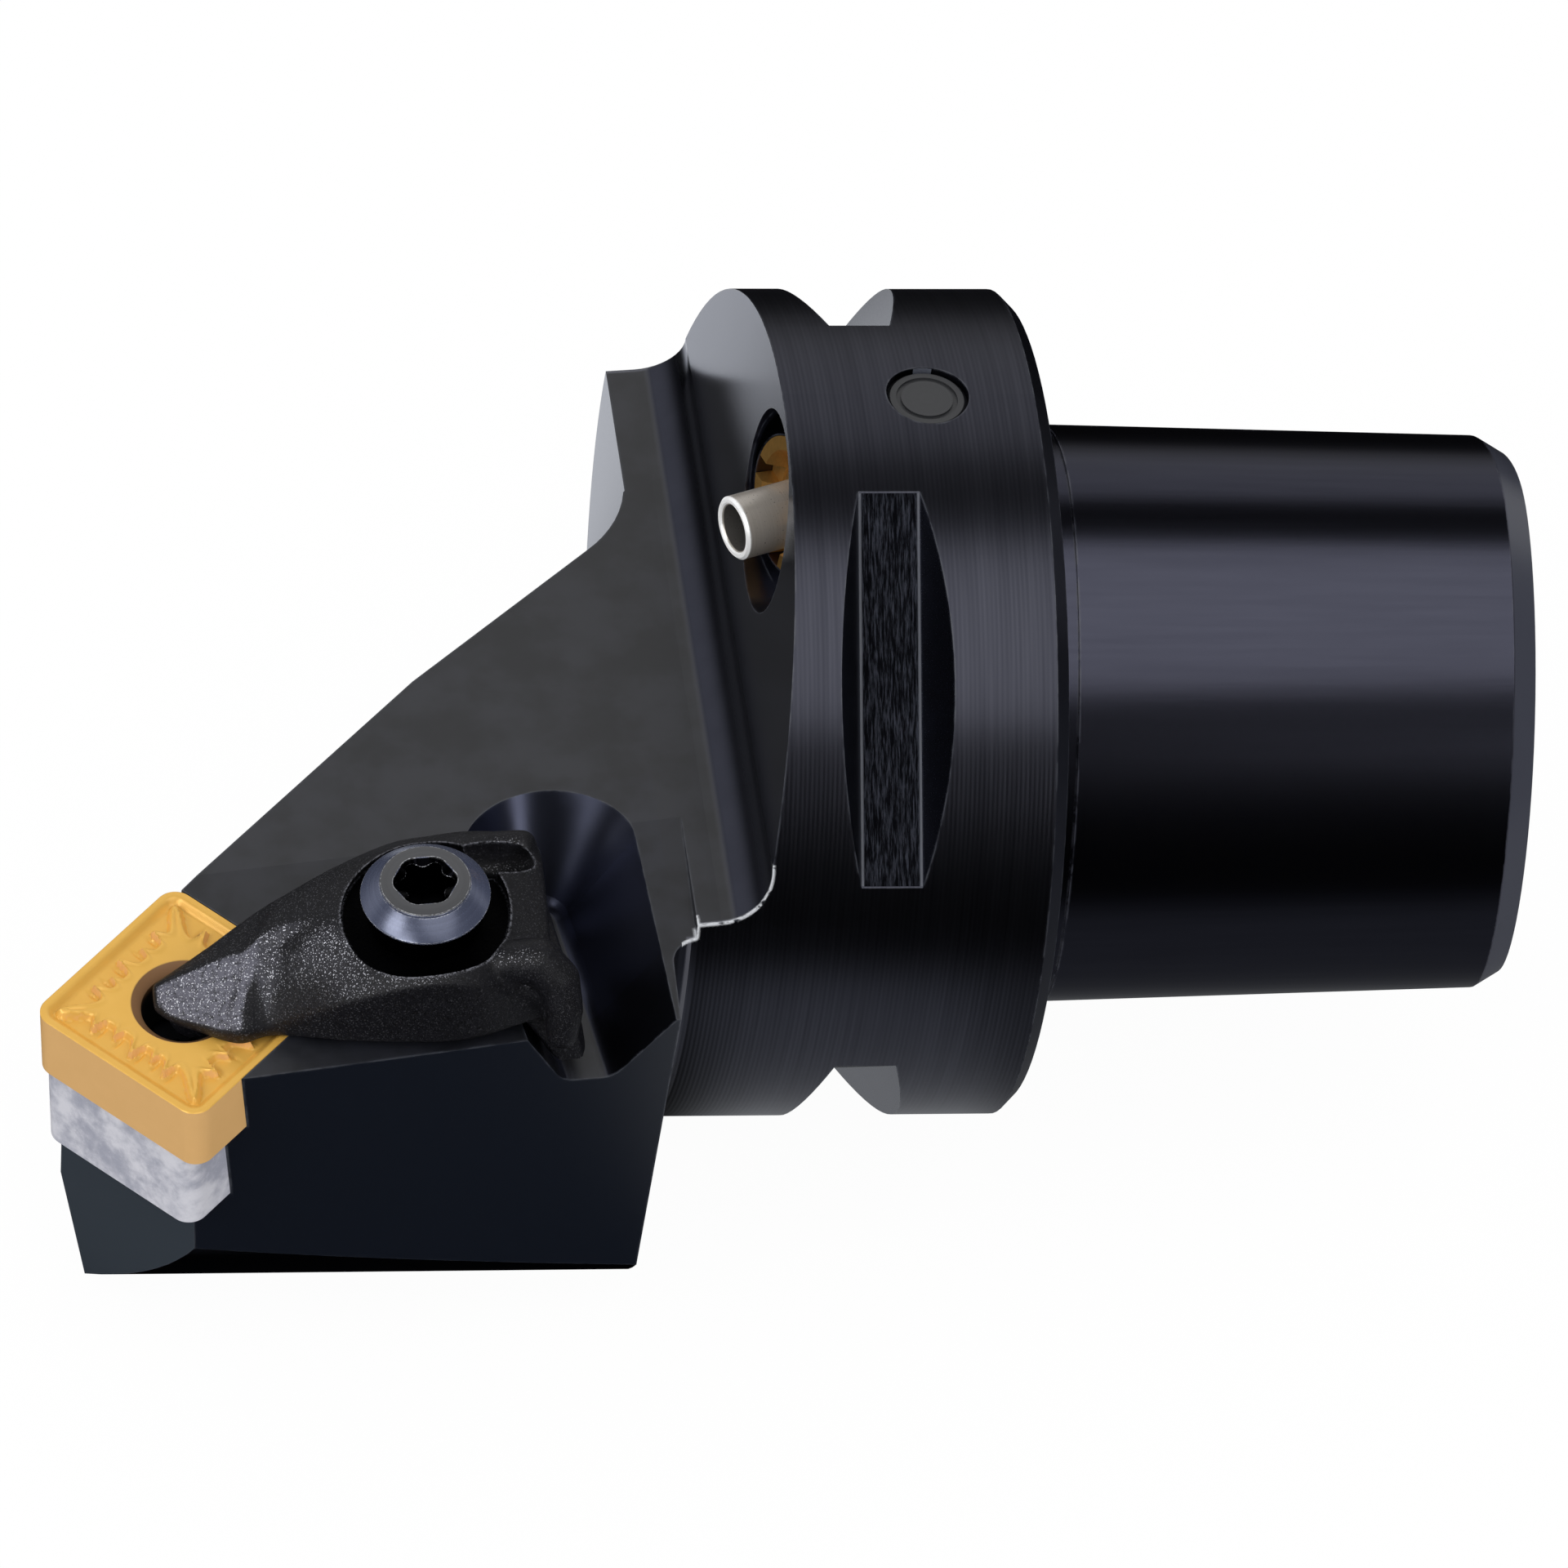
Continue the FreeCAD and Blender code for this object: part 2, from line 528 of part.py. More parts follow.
def make_shim():
    side = INSERT_SIDE - 2 * SHIM_INSET
    bottom, top = -(INSERT_T + SHIM_T), -INSERT_T
    shim = square_plate(side, bottom, top, INSERT_NOSE_R)
    shim = shim.cut(disc(SHIM_HOLE_D, bottom - 1, top + 1))
    sink = (SHIM_SINK_D - SHIM_HOLE_D) / 2
    shim = shim.cut(frustum(SHIM_HOLE_D, SHIM_SINK_D, top - sink, top))
    strip = Part.makeBox(side, SHIM_STEP, SHIM_T, V(-side / 2, -INSERT_SIDE / 2, bottom))
    shim = shim.cut(strip)
    return in_frame(shim, rake_frame(0, 45))


def make_shim_screw():
    top = -INSERT_T - 0.15
    sink = (SHIM_SCREW_HEAD_D - SHIM_SCREW_D) / 2
    screw = disc(SHIM_SCREW_HEAD_D, top - 0.3, top)
    screw = screw.fuse(frustum(SHIM_SCREW_D, SHIM_SCREW_HEAD_D, top - 0.3 - sink, top - 0.3))
    screw = screw.fuse(disc(SHIM_SCREW_D, -(INSERT_T + SHIM_T + SHIM_SCREW_L) + 1, top - 0.3))
    screw = screw.cut(six_lobe(2.8, top - 1.4, top + 1))
    return in_frame(screw, rake_frame())


def clamp_section(u, near, far, crest, near_shoulder, far_shoulder, under):
    # outline across the clamp: flat underside, low side walls and a rounded back
    a, b = V(u, -near, under), V(u, far, under)
    c, d = V(u, far, far_shoulder), V(u, -near, near_shoulder)
    top = V(u, 0, crest)
    return Part.Wire([Part.makeLine(a, b), Part.makeLine(b, c),
                      Part.Arc(c, top, d).toShape(), Part.makeLine(d, a)])


def make_clamp_foot():
    # a wedge that bears on the inclined wall of the slot
    z0, z1 = FOOT_BOTTOM_Z, SLOT_TOP_Z + 1.0
    front0 = SLOT_X - slot_half_width(z0) + FOOT_GAP
    front1 = SLOT_X - slot_half_width(z1) + FOOT_GAP
    points = [V(front0, 0, z0), V(FOOT_BACK_X, 0, z0),
              V(FOOT_BACK_X - FOOT_BACK_LEAN, 0, z1), V(front1, 0, z1)]
    foot = face_of(points).extrude(V(0, FOOT_Y[0] - FOOT_Y[1], 0))
    upright = [e for e in foot.Edges if e.BoundBox.ZLength > 2]
    foot = foot.makeFillet(0.6, upright)
    foot.translate(V(0, FOOT_Y[1] - SLOT_END_Y, 0))
    foot.rotate(V(SLOT_X, 0, 0), V(0, 0, 1), SLOT_TURN)
    foot.translate(V(0, SLOT_END_Y, 0))
    return foot


def make_clamp():
    wires = [clamp_section(*station) for station in CLAMP_STATIONS]
    clamp = Part.makeLoft(wires, True, False)
    clamp = clamp.cut(half_space(V(0, 0, -1), 0))
    nose = disc(CLAMP_NOSE_D, CLAMP_NOSE_BOTTOM_W, 1.0)
    nose.translate(V(CLAMP_NOSE_U, 0, 0))
    hollow = Part.makeCylinder(HOLLOW_R, HOLLOW_END_U - SCREW_U, V(SCREW_U, HOLLOW_V, HOLLOW_W), V(1, 0, 0))
    clamp = in_frame(clamp.fuse(nose).cut(hollow), rake_frame())
    clamp = clamp.fuse(make_clamp_foot())
    at = rake_frame(SCREW_U)
    reach = 2 * SCREW_TOP_W
    clamp = clamp.cut(in_frame(disc(SCREW_HOLE_D, -reach, reach), at))
    clamp = clamp.cut(in_frame(disc(CLAMP_RECESS_D, SCREW_HEAD_FLOOR_W, reach), at))
    clamp = clamp.cut(in_frame(disc(SPRING_POCKET_D, -reach, SPRING_TOP_W), at))
    return clamp


def make_clamp_screw():
    floor, top = SCREW_HEAD_FLOOR_W, SCREW_TOP_W
    collar = top - 0.3 - SCREW_CONE_H
    screw = disc(SCREW_COLLAR_D, floor, collar)
    screw = screw.fuse(frustum(SCREW_COLLAR_D, SCREW_RING_D, collar, top - 0.3))
    screw = screw.fuse(disc(SCREW_RING_D, top - 0.3, top))
    screw = screw.fuse(disc(SCREW_D, SCREW_END_W + 0.5, floor))
    screw = screw.fuse(frustum(SCREW_D - 1, SCREW_D, SCREW_END_W, SCREW_END_W + 0.5))
    screw = screw.cut(six_lobe(SCREW_SOCKET_D, top - SCREW_SOCKET_DEPTH, top + 1))
    return in_frame(screw, rake_frame(SCREW_U))


def make_clamp_spring():
    # octagonal wire sections set along the helix
    wire_r = SPRING_WIRE_D / 2
    low, high = SPRING_BOTTOM_W + wire_r, SPRING_TOP_W - wire_r
    count = int(SPRING_TURNS * SPRING_SECTIONS)
    sections = []
    for i in range(count + 1):
        turn = FreeCAD.Placement(V(0, 0, low + (high - low) * i / count),
                                 FreeCAD.Rotation(V(0, 0, 1), 360.0 * i / SPRING_SECTIONS))
        ring = []
        for k in range(9):
            a = math.radians(45 * k + 22.5)
            ring.append(turn.multVec(V(SPRING_R + wire_r * math.cos(a), 0, wire_r * math.sin(a))))
        sections.append(Part.makePolygon(ring))
    return in_frame(Part.makeLoft(sections, True, True), rake_frame(SCREW_U))


def make_nozzle_ball():
    ball = Part.makeSphere(BALL_R)
    ball = ball.cut(disc(TUBE_D, TUBE_ROOT, BALL_R + 1)).cut(disc(TUBE_BORE_D, -BALL_R - 1, BALL_R))
    return in_frame(ball, nozzle_frame(BALL_CENTRE, TUBE_AXIS))


def make_nozzle_tube():
    tube = disc(TUBE_D, TUBE_ROOT, TUBE_REACH)
    lip = 0.15
    tube = tube.common(disc(TUBE_D + 1, TUBE_ROOT, TUBE_REACH - lip).fuse(
        frustum(TUBE_D, TUBE_D - 2 * lip, TUBE_REACH - lip, TUBE_REACH)))
    tube = tube.cut(disc(TUBE_BORE_D, TUBE_ROOT - 1, TUBE_REACH + 1))
    tube = tube.cut(frustum(TUBE_BORE_D, TUBE_BORE_D + 4 * lip, TUBE_REACH - lip, TUBE_REACH + lip))
    return in_frame(tube, nozzle_frame(BALL_CENTRE, TUBE_AXIS))


def make_nozzle_ring():
    back, front = BALL_DEPTH - RING_L, BALL_DEPTH
    ring = disc(RING_D, back, front).cut(Part.makeSphere(BALL_R + BALL_SEAT_CLEARANCE))
    ring = ring.cut(disc(RING_LIP_D, RING_LIP_T - 1, front))
    ring = ring.cut(frustum(RING_LIP_D, RING_MOUTH_D, RING_LIP_T, front))
    for turn in (0, 90):
        slot = Part.makeBox(RING_D + 2, RING_SLOT_W, RING_SLOT_DEPTH + 1,
                            V(-RING_D / 2 - 1, -RING_SLOT_W / 2, front - RING_SLOT_DEPTH))
        slot.rotate(V(0, 0, 0), V(0, 0, 1), turn + 20)
        ring = ring.cut(slot)
    return in_frame(ring, nozzle_frame(BALL_CENTRE, NOZZLE_AXIS))


def make_nozzle_seal():
    # sits in the counterbore behind the ball
    r = SEAL_WIRE_D / 2
    corners = []
    for k in range(8):
        a = math.radians(45 * k + 22.5)
        corners.append(V(SEAL_R + r * math.cos(a), 0, r * math.sin(a) - seal_reach()))
    seal = face_of(corners).revolve(V(0, 0, 0), V(0, 0, 1), 360)
    return in_frame(seal, nozzle_frame(BALL_CENTRE, NOZZLE_AXIS))


PARTS = {
    "holder_body": make_holder_body,
    "insert": make_insert,
    "shim": make_shim,
    "shim_screw": make_shim_screw,
    "clamp": make_clamp,
    "clamp_screw": make_clamp_screw,
    "clamp_spring": make_clamp_spring,
    "nozzle_tube": make_nozzle_tube,
    "nozzle_ball": make_nozzle_ball,
    "nozzle_ring": make_nozzle_ring,
    "nozzle_seal": make_nozzle_seal,
    "channel_plug": make_channel_plug,
}


def main():
    os.makedirs("parts", exist_ok=True)
    for name, make in PARTS.items():
        shape = make()
        shape.exportStep(os.path.join("parts", name + ".step"))
        print(name, len(shape.Solids), round(shape.Volume, 1), shape.isValid())


if __name__ == "__main__":
    main()
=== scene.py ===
import math

import bmesh
import bpy
from mathutils import Matrix, Vector


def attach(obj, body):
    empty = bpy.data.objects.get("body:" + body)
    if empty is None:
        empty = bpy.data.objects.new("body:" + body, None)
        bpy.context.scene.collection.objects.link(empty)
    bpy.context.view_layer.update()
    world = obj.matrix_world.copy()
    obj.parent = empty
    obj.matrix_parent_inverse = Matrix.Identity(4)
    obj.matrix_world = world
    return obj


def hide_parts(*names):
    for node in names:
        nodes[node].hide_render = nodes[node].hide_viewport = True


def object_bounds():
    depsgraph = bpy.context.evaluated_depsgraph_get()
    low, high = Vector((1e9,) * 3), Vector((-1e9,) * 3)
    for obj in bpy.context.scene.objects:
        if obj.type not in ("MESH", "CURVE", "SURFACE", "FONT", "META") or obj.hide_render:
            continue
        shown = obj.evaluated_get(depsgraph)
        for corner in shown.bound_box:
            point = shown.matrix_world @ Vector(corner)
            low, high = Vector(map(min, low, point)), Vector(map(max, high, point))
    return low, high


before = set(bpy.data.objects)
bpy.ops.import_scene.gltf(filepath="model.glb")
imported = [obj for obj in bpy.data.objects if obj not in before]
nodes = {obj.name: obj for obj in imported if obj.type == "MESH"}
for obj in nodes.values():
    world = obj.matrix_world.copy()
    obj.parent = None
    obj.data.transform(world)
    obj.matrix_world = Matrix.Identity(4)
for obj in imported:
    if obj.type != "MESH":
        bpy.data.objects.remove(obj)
cad_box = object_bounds()


# Holder body
# One piece of steel, blackened after machining: polygon taper shank, flange and cutting head.
# Its finish changes with how each face was cut: ground shank, turned rim, milled head and grooves.

class Wire:
    """A socket inside a material. Wires can be added and multiplied like numbers."""

    def __init__(self, tree, socket=None):
        self.tree, self.socket = tree, socket

    def node(self, kind, settings=None, out=0, **values):
        made = self.tree.nodes.new("ShaderNode" + kind)
        for name, value in (settings or {}).items():
            if name == "stops":
                stops = made.color_ramp.elements
                while len(stops) < len(value):
                    stops.new(0.5)
                for stop, (place, colour) in zip(stops, value):
                    stop.position = place
                    stop.color = (*colour, 1.0)
            else:
                setattr(made, name, value)
        for name, value in values.items():
            if name[0] == "_":
                socket = made.inputs[int(name[1:])]
            else:
                socket = made.inputs[name.replace("_", " ")]
            if isinstance(value, Wire):
                self.tree.links.new(value.socket, socket)
            elif isinstance(value, tuple) and len(value) == 3 and socket.type == "RGBA":
                socket.default_value = (*value, 1.0)
            else:
                socket.default_value = value
        return Wire(self.tree, made.outputs[out])

    def math(self, operation, a, b=0.0):
        return self.node("Math", {"operation": operation}, _0=a, _1=b)

    def __add__(self, other):
        return self.math("ADD", self, other)

    def __radd__(self, other):
        return self.math("ADD", other, self)

    def __sub__(self, other):
        return self.math("SUBTRACT", self, other)

    def __rsub__(self, other):
        return self.math("SUBTRACT", other, self)

    def __mul__(self, other):
        return self.math("MULTIPLY", self, other)

    def __rmul__(self, other):
        return self.math("MULTIPLY", other, self)

    def __truediv__(self, other):
        return self.math("DIVIDE", self, other)

    def __rtruediv__(self, other):
        return self.math("DIVIDE", other, self)

    def __pow__(self, other):
        return self.math("POWER", self, other)

    def __gt__(self, other):
        return self.math("GREATER_THAN", self, other)

    def __lt__(self, other):
        return self.math("LESS_THAN", self, other)


def between(wire, low, high, start=0.0, end=1.0):
    # rises smoothly from start to end as the wire goes from low to high
    return wire.node("MapRange", {"interpolation_type": "SMOOTHSTEP"},
                     Value=wire, From_Min=low, From_Max=high, To_Min=start, To_Max=end)


def tint(factor, first, second):
    # colour that goes from first to second with the factor
    mixer = factor.tree.nodes.new("ShaderNodeMix")
    mixer.data_type = "RGBA"
    for socket, value in ((mixer.inputs[0], factor), (mixer.inputs[6], first), (mixer.inputs[7], second)):
        if isinstance(value, Wire):
            factor.tree.links.new(value.socket, socket)
        else:
            socket.default_value = (*value, 1.0)
    return Wire(factor.tree, mixer.outputs[2])


def srgb(red, green, blue):
    # the colour as read off a screen, 0 to 255
    return tuple((c / 255 / 12.92) if c <= 10 else ((c / 255 + 0.055) / 1.055) ** 2.4
                 for c in (red, green, blue))


def finish(name, **constants):
    # a new material with its shader's fixed values; gives the material, its shader and its coordinates
    made = bpy.data.materials.new(name)
    made.use_nodes = True
    shader = made.node_tree.nodes["Principled BSDF"]
    for socket, value in constants.items():
        shader.inputs[socket.replace("_", " ")].default_value = value
    place = Wire(made.node_tree).node("TexCoord", out=3)
    return made, shader, place


def feed(shader, **wires):
    # links wires to the shader's sockets
    for socket, wire in wires.items():
        wire.tree.links.new(wire.socket, shader.inputs[socket.replace("_", " ")])


def parts_of(vector):
    # x, y and z of a vector, one wire each
    split = vector.tree.nodes.new("ShaderNodeSeparateXYZ")
    vector.tree.links.new(vector.socket, split.inputs[0])
    return [Wire(vector.tree, out) for out in split.outputs]


def stretched(place, x, y, z):
    # coordinates in millimetres, stretched along the axes
    return place.node("Mapping", Vector=place, Scale=(1000 * x, 1000 * y, 1000 * z))


def grain(place, scale, detail=4.0, rough=0.6):
    # noise from 0 to 1, finer with a higher scale
    return place.node("TexNoise", Vector=place, Scale=scale, Detail=detail, Roughness=rough)


def inside(wire, low, high):
    # 1 where the wire lies between low and high, else 0
    return (wire > low) * (wire < high)


def relief(height, strength=0.5):
    # normals of a surface that rises by the height, in metres
    return height.node("Bump", Strength=strength, Distance=1.0, Height=height)


def coat(name, material):
    # gives a node of the part its finish
    nodes[name].data.materials.clear()
    nodes[name].data.materials.append(material)


def edge_mask_for_wear_and_glints(place, radius, sharp=0.93):
    # 1 on sharp edges, 0 on faces; a higher sharp value takes in flatter edges too
    rounded = place.node("Bevel", {"samples": 6}, Radius=radius)
    flat = place.node("NewGeometry", out=1)
    same = place.node("VectorMath", {"operation": "DOT_PRODUCT"}, out=1, _0=rounded, _1=flat)
    return between(same, 0.999, sharp)


flange_radius, flange_front, shank_length = 25.0, -22.0, 30.0
groove_centre, groove_reach, groove_bottom = -10.3, 3.7, 22.1

black_steel, shader, place = finish("black_steel", IOR=1.75)
x, y, z = (w * 1000.0 for w in parts_of(place))
nx, ny, nz = parts_of(place.node("NewGeometry", out=1))
radius = (y * y + z * z) ** 0.5

# the body's faces, told apart by where they are and which way they look
shank = between(x, 0.1, 0.3)
in_flange = between(x, flange_front - 0.4, flange_front - 0.2) * (x < -0.05)
rim = in_flange * between(radius, flange_radius - 0.3, flange_radius - 0.1) * (nx * nx < 0.3)
groove = in_flange * inside(x, groove_centre - groove_reach, groove_centre + groove_reach)
groove = groove * inside(radius, groove_bottom - 0.2, flange_radius - 0.05) * (nx * nx < 0.5)
groove_floor = groove * (nx * nx < 0.05)
off_middle = ((x - groove_centre) * (x - groove_centre)) ** 0.5
long_edge_highlight = groove_floor * between(off_middle, 1.6, 1.75)
level_top = between(nz, 0.9, 0.97) * (x < flange_front + 4.0)
flank = between(ny, -0.85, -0.95) * (x < flange_front)
front_flank = between(nx + ny, -1.2, -1.35) * (x < flange_front)
flange_wall = between(nx, -0.85, -0.95) * (x > flange_front - 1.0)
slot_wall = inside(x, -34.5, -23.0) * inside(y, -25.5, -11.5) * inside(z, -6.0, 5.2)
end_chamfer_highlight = between(x, shank_length - 1.6, shank_length - 1.3) * between(nx, 0.3, 0.45) * (nx < 0.9)

cloud = grain(stretched(place, 1, 1, 1), 0.25, 5.0)
fine = grain(stretched(place, 1, 1, 1), 9.0, 3.0)
lengthwise = grain(stretched(place, 0.04, 1, 1), 2.2, 6.0)
turned = grain(stretched(place, 1, 0.02, 0.02), 3.3, 2.0, 0.5)
cut_lines = place.node("TexWave", {"bands_direction": "X", "wave_profile": "SIN"},
                       Vector=stretched(place, 1, 0, 0), Scale=1.15, Distortion=0.0)
mill_streaks = grain(stretched(place, 3.2, 0.3, 0.3), 2.6, 6.0, 0.7)

# dark mirror-like oxide on most faces; the milled planes of the head are matt
base = tint(cloud, srgb(64, 66, 78), srgb(80, 82, 95))
base = tint(slot_wall, base, srgb(74, 77, 93))
base = tint(level_top * between(cloud, 0.35, 0.65, 0.85, 1.0), base, srgb(17, 19, 25))
base = tint(flange_wall, base, tint(cloud, srgb(74, 77, 92), srgb(84, 87, 102)))
base = tint(flank, base, srgb(11, 18, 31))
base = tint(front_flank, base, srgb(50, 57, 65))
base = tint(shank, base, tint(lengthwise, srgb(66, 67, 79), srgb(80, 81, 94)))
turning = turned + (cut_lines - 0.5) * 0.5 * cloud
base = tint(rim, base, tint(turning, srgb(62, 63, 72), srgb(84, 85, 95)))
# painted shade: the groove's sloping walls are made nearly black metal, so they mirror almost nothing
base = tint(groove, base, srgb(22, 24, 32))
base = tint(groove_floor, base, tint(between(mill_streaks, 0.42, 0.7), srgb(14, 15, 19), srgb(74, 77, 88)))
# painted highlight: a thin light matt line along both long edges of the groove floor
base = tint(long_edge_highlight, base, srgb(74, 78, 90))
# painted highlight: the chamfer at the shank's end is painted lighter and matt
base = tint(end_chamfer_highlight, base, srgb(56, 58, 68))
edge = edge_mask_for_wear_and_glints(place, 0.00022)
# edge wear, and a painted highlight: some sharp edges are painted lighter and matt
wear_and_edge_highlight = edge * between(grain(stretched(place, 1, 1, 1), 0.9, 3.0), 0.35, 0.6, 0.2, 0.9)
base = tint(wear_and_edge_highlight * (1 - shank * 0.6), base, srgb(62, 65, 73))
# bright burr where the side flank runs out into the flange rim
burr = edge_mask_for_wear_and_glints(place, 0.0003, 0.986) * (radius > flange_radius - 0.85)
burr = burr * inside(x, -22.6, -17.0) * (y < -22.8) * inside(z, -2.6, 8.8)
burr = burr * between(grain(stretched(place, 1, 1, 1), 1.6, 4.0), 0.36, 0.5)
base = tint(burr, base, srgb(208, 211, 216))
matt = level_top + flank + front_flank + wear_and_edge_highlight * 0.8 + burr + long_edge_highlight + end_chamfer_highlight

rough = (0.26 + 0.06 * fine + level_top * 0.1 - shank * 0.07 + flank * 0.08 + groove_floor * 0.3
         - flange_wall * 0.1 + slot_wall * 0.02)
height = (fine * 0.0000025 + lengthwise * shank * 0.000004 + cut_lines * rim * 0.000005
          + mill_streaks * groove_floor * 0.00003)
feed(shader, Base_Color=base, Roughness=rough, Metallic=between(matt, 1.0, 0.0),
     Normal=relief(height, 0.6))
coat("holder_body", black_steel)


# Insert
# Square indexable insert of pressed carbide with a gold coating; both faces carry a chip groove
# with raised ribs along every edge.  The clamp's nose presses in its centre hole.

mm = 0.001
corner = Vector((-51.85, -35.33, 0.0))
lean = math.radians(8.0)
seat_normal = Vector((-math.sin(lean) / math.sqrt(2), -math.sin(lean) / math.sqrt(2), math.cos(lean)))
edge_one = Vector((-math.sqrt(0.5), math.sqrt(0.5), 0.0))
edge_two = edge_one.cross(seat_normal)
insert_side, insert_thick, insert_nose = 12.7, 4.76, 1.2
hole_centre = corner + (edge_one + edge_two) * (insert_side / 2)
along = (edge_two - edge_one).normalized()
across = seat_normal.cross(along)
# turns insert coordinates (millimetres) into the part's own
seat_turn = Matrix((along, across, seat_normal)).transposed().to_4x4()
seat = Matrix.Translation(hole_centre * mm) @ seat_turn @ Matrix.Scale(mm, 4)
hole_radius, hole_mouth = 2.58, 3.15
# raised teeth along each edge, from its middle: place, width and reach
teeth = ((-2.85, 0.4, 1.0), (-1.45, 0.28, 0.65), (0.1, 0.42, 1.1), (1.35, 0.25, 0.6), (2.5, 0.36, 0.95))


def outline_radius(angle, half, round_off):
    # distance from the centre to a square outline with rounded corners
    c, s = abs(math.cos(angle)), abs(math.sin(angle))
    c, s = max(c, s), min(c, s)
    straight = half / c
    inner = half - round_off
    if straight * s <= inner:
        return straight
    along_corner = inner * (c + s)
    return along_corner + math.sqrt(max(along_corner ** 2 - 2 * inner ** 2 + round_off ** 2, 0.0))


def step(value, low, high):
    # rises smoothly from 0 to 1 between low and high
    t = min(max((value - low) / (high - low), 0.0), 1.0)
    return t * t * (3 - 2 * t)


def groove_height(a, b):
    # height of the pressed face at a point of the square, in millimetres: a plain land along the
    # edge, a trench behind it, and a raised field with teeth and an arrow to each corner
    half = insert_side / 2
    swap = abs(b) > abs(a)
    out, side = (b, -a if b > 0 else a) if swap else (a, b if a > 0 else -b)
    inward = half - abs(out)
    corner_gap = half - abs(side)
    if corner_gap < insert_nose and inward < insert_nose:
        inward = insert_nose - math.hypot(insert_nose - inward, insert_nose - corner_gap)
    arrow = 1 - step(corner_gap, 1.1, 3.4)
    tooth = notch = 0.0
    for middle, width, reach in teeth:
        off = side - middle
        tooth = max(tooth, reach * math.exp(-(off / (width if off < 0 else 0.5 * width)) ** 2))
        notch = max(notch, math.exp(-((off - 0.75 * width - 0.1) / 0.1) ** 2))
    field_edge = 2.5 - 1.0 * tooth * (1 - arrow) - 1.35 * arrow
    fall = step(inward, 0.35, 0.95)
    rise = step(inward, field_edge - 0.36, field_edge)
    crest = 0.04 + 0.13 * max(min(tooth, 1.0), arrow)
    ridge = math.exp(-((inward - field_edge - 0.12) / 0.22) ** 2) * crest
    crease = notch * math.exp(-((inward - 1.7) / 0.45) ** 2) * (1 - arrow)
    return -0.42 * fall * (1 - rise) + ridge - 0.12 * crease


def pressed_face(mesh, rings, spokes, top):
    # one face from the hole to the edge; gives its inner and outer rows
    rows = []
    for i in range(rings + 1):
        t = i / rings
        row = []
        for k in range(spokes):
            angle = 2 * math.pi * k / spokes
            outer = outline_radius(angle, insert_side / 2, insert_nose)
            r = hole_mouth + (outer - hole_mouth) * t
            a, b = r * math.cos(angle), r * math.sin(angle)
            h = groove_height(a, b) if 0 < i < rings else 0.0
            u, v = (a - b) * math.sqrt(0.5), (a + b) * math.sqrt(0.5)
            w = h if top else -insert_thick - h
            row.append(mesh.verts.new(seat @ Vector((u, v, w))))
        rows.append(row)
    for first, second in zip(rows, rows[1:]):
        for k in range(spokes):
            n = (k + 1) % spokes
            loop = (first[k], second[k], second[n], first[n])
            mesh.faces.new(loop if top else loop[::-1])
    return rows[0], rows[-1]


def join_rows(mesh, first, second):
    # a closed band of faces between two rows of points
    count = len(first)
    for k in range(count):
        n = (k + 1) % count
        mesh.faces.new((first[k], second[k], second[n], first[n]))


def smooth(data, sharp_from):
    # rounds a mesh's shading, apart from edges that turn by more degrees than sharp_from
    for face in data.polygons:
        face.use_smooth = True
    data.set_sharp_from_angle(angle=math.radians(sharp_from))


def piece(name, mesh, sharp_from=None):
    # makes an object of a finished bmesh
    bmesh.ops.recalc_face_normals(mesh, faces=mesh.faces)
    data = bpy.data.meshes.new(name)
    mesh.to_mesh(data)
    mesh.free()
    made = bpy.data.objects.new(name, data)
    bpy.context.scene.collection.objects.link(made)
    if sharp_from is not None:
        smooth(data, sharp_from)
    return made


def share_along(vector, axis):
    # how far a vector reaches along an axis
    return vector.node("VectorMath", {"operation": "DOT_PRODUCT"}, out=1, _0=vector, _1=tuple(axis))


def round_axis(place, centre, axis):
    # millimetres along an axis from the centre, and millimetres out from the axis
    local = place.node("VectorMath", {"operation": "SUBTRACT"}, _0=place, _1=tuple(centre * mm))
    out_of_axis = local.node("VectorMath", {"operation": "CROSS_PRODUCT"}, _0=local, _1=tuple(axis))
    from_axis = local.node("VectorMath", {"operation": "LENGTH"}, out=1, _0=out_of_axis)
    return share_along(local, axis) * 1000.0, from_axis * 1000.0


mesh = bmesh.new()
spokes = 384
top_in, top_out = pressed_face(mesh, 60, spokes, True)
low_in, low_out = pressed_face(mesh, 60, spokes, False)
# side walls with a small honed radius at both cutting edges
hone = 0.05
walls = []
for drop in (hone, insert_thick - hone):
    row = []
    for k in range(spokes):
        angle = 2 * math.pi * k / spokes
        r = outline_radius(angle, insert_side / 2, insert_nose)
        a, b = r * math.cos(angle), r * math.sin(angle)
        row.append(mesh.verts.new(seat @ Vector(((a - b) * math.sqrt(0.5), (a + b) * math.sqrt(0.5), -drop))))
    walls.append(row)
for k in range(spokes):
    for vert in (top_out[k], low_out[k]):
        middle = seat @ Vector((0, 0, 0 if vert is top_out[k] else -insert_thick))
        vert.co = middle + (vert.co - middle) * (1 - hone / 7)
join_rows(mesh, top_out, walls[0])
join_rows(mesh, walls[0], walls[1])
join_rows(mesh, walls[1], low_out)
# hole with a bevelled mouth on both sides
bore = []
bevel = hole_mouth - hole_radius
turns = [2 * math.pi * k / spokes + math.pi / 4 for k in range(spokes)]
for drop in (bevel, insert_thick - bevel):
    around = [(hole_radius * math.cos(turn), hole_radius * math.sin(turn), -drop) for turn in turns]
    bore.append([mesh.verts.new(seat @ Vector(point)) for point in around])
join_rows(mesh, top_in, bore[0])
join_rows(mesh, bore[0], bore[1])
join_rows(mesh, bore[1], low_in)
insert = piece("insert_gold", mesh, 40)

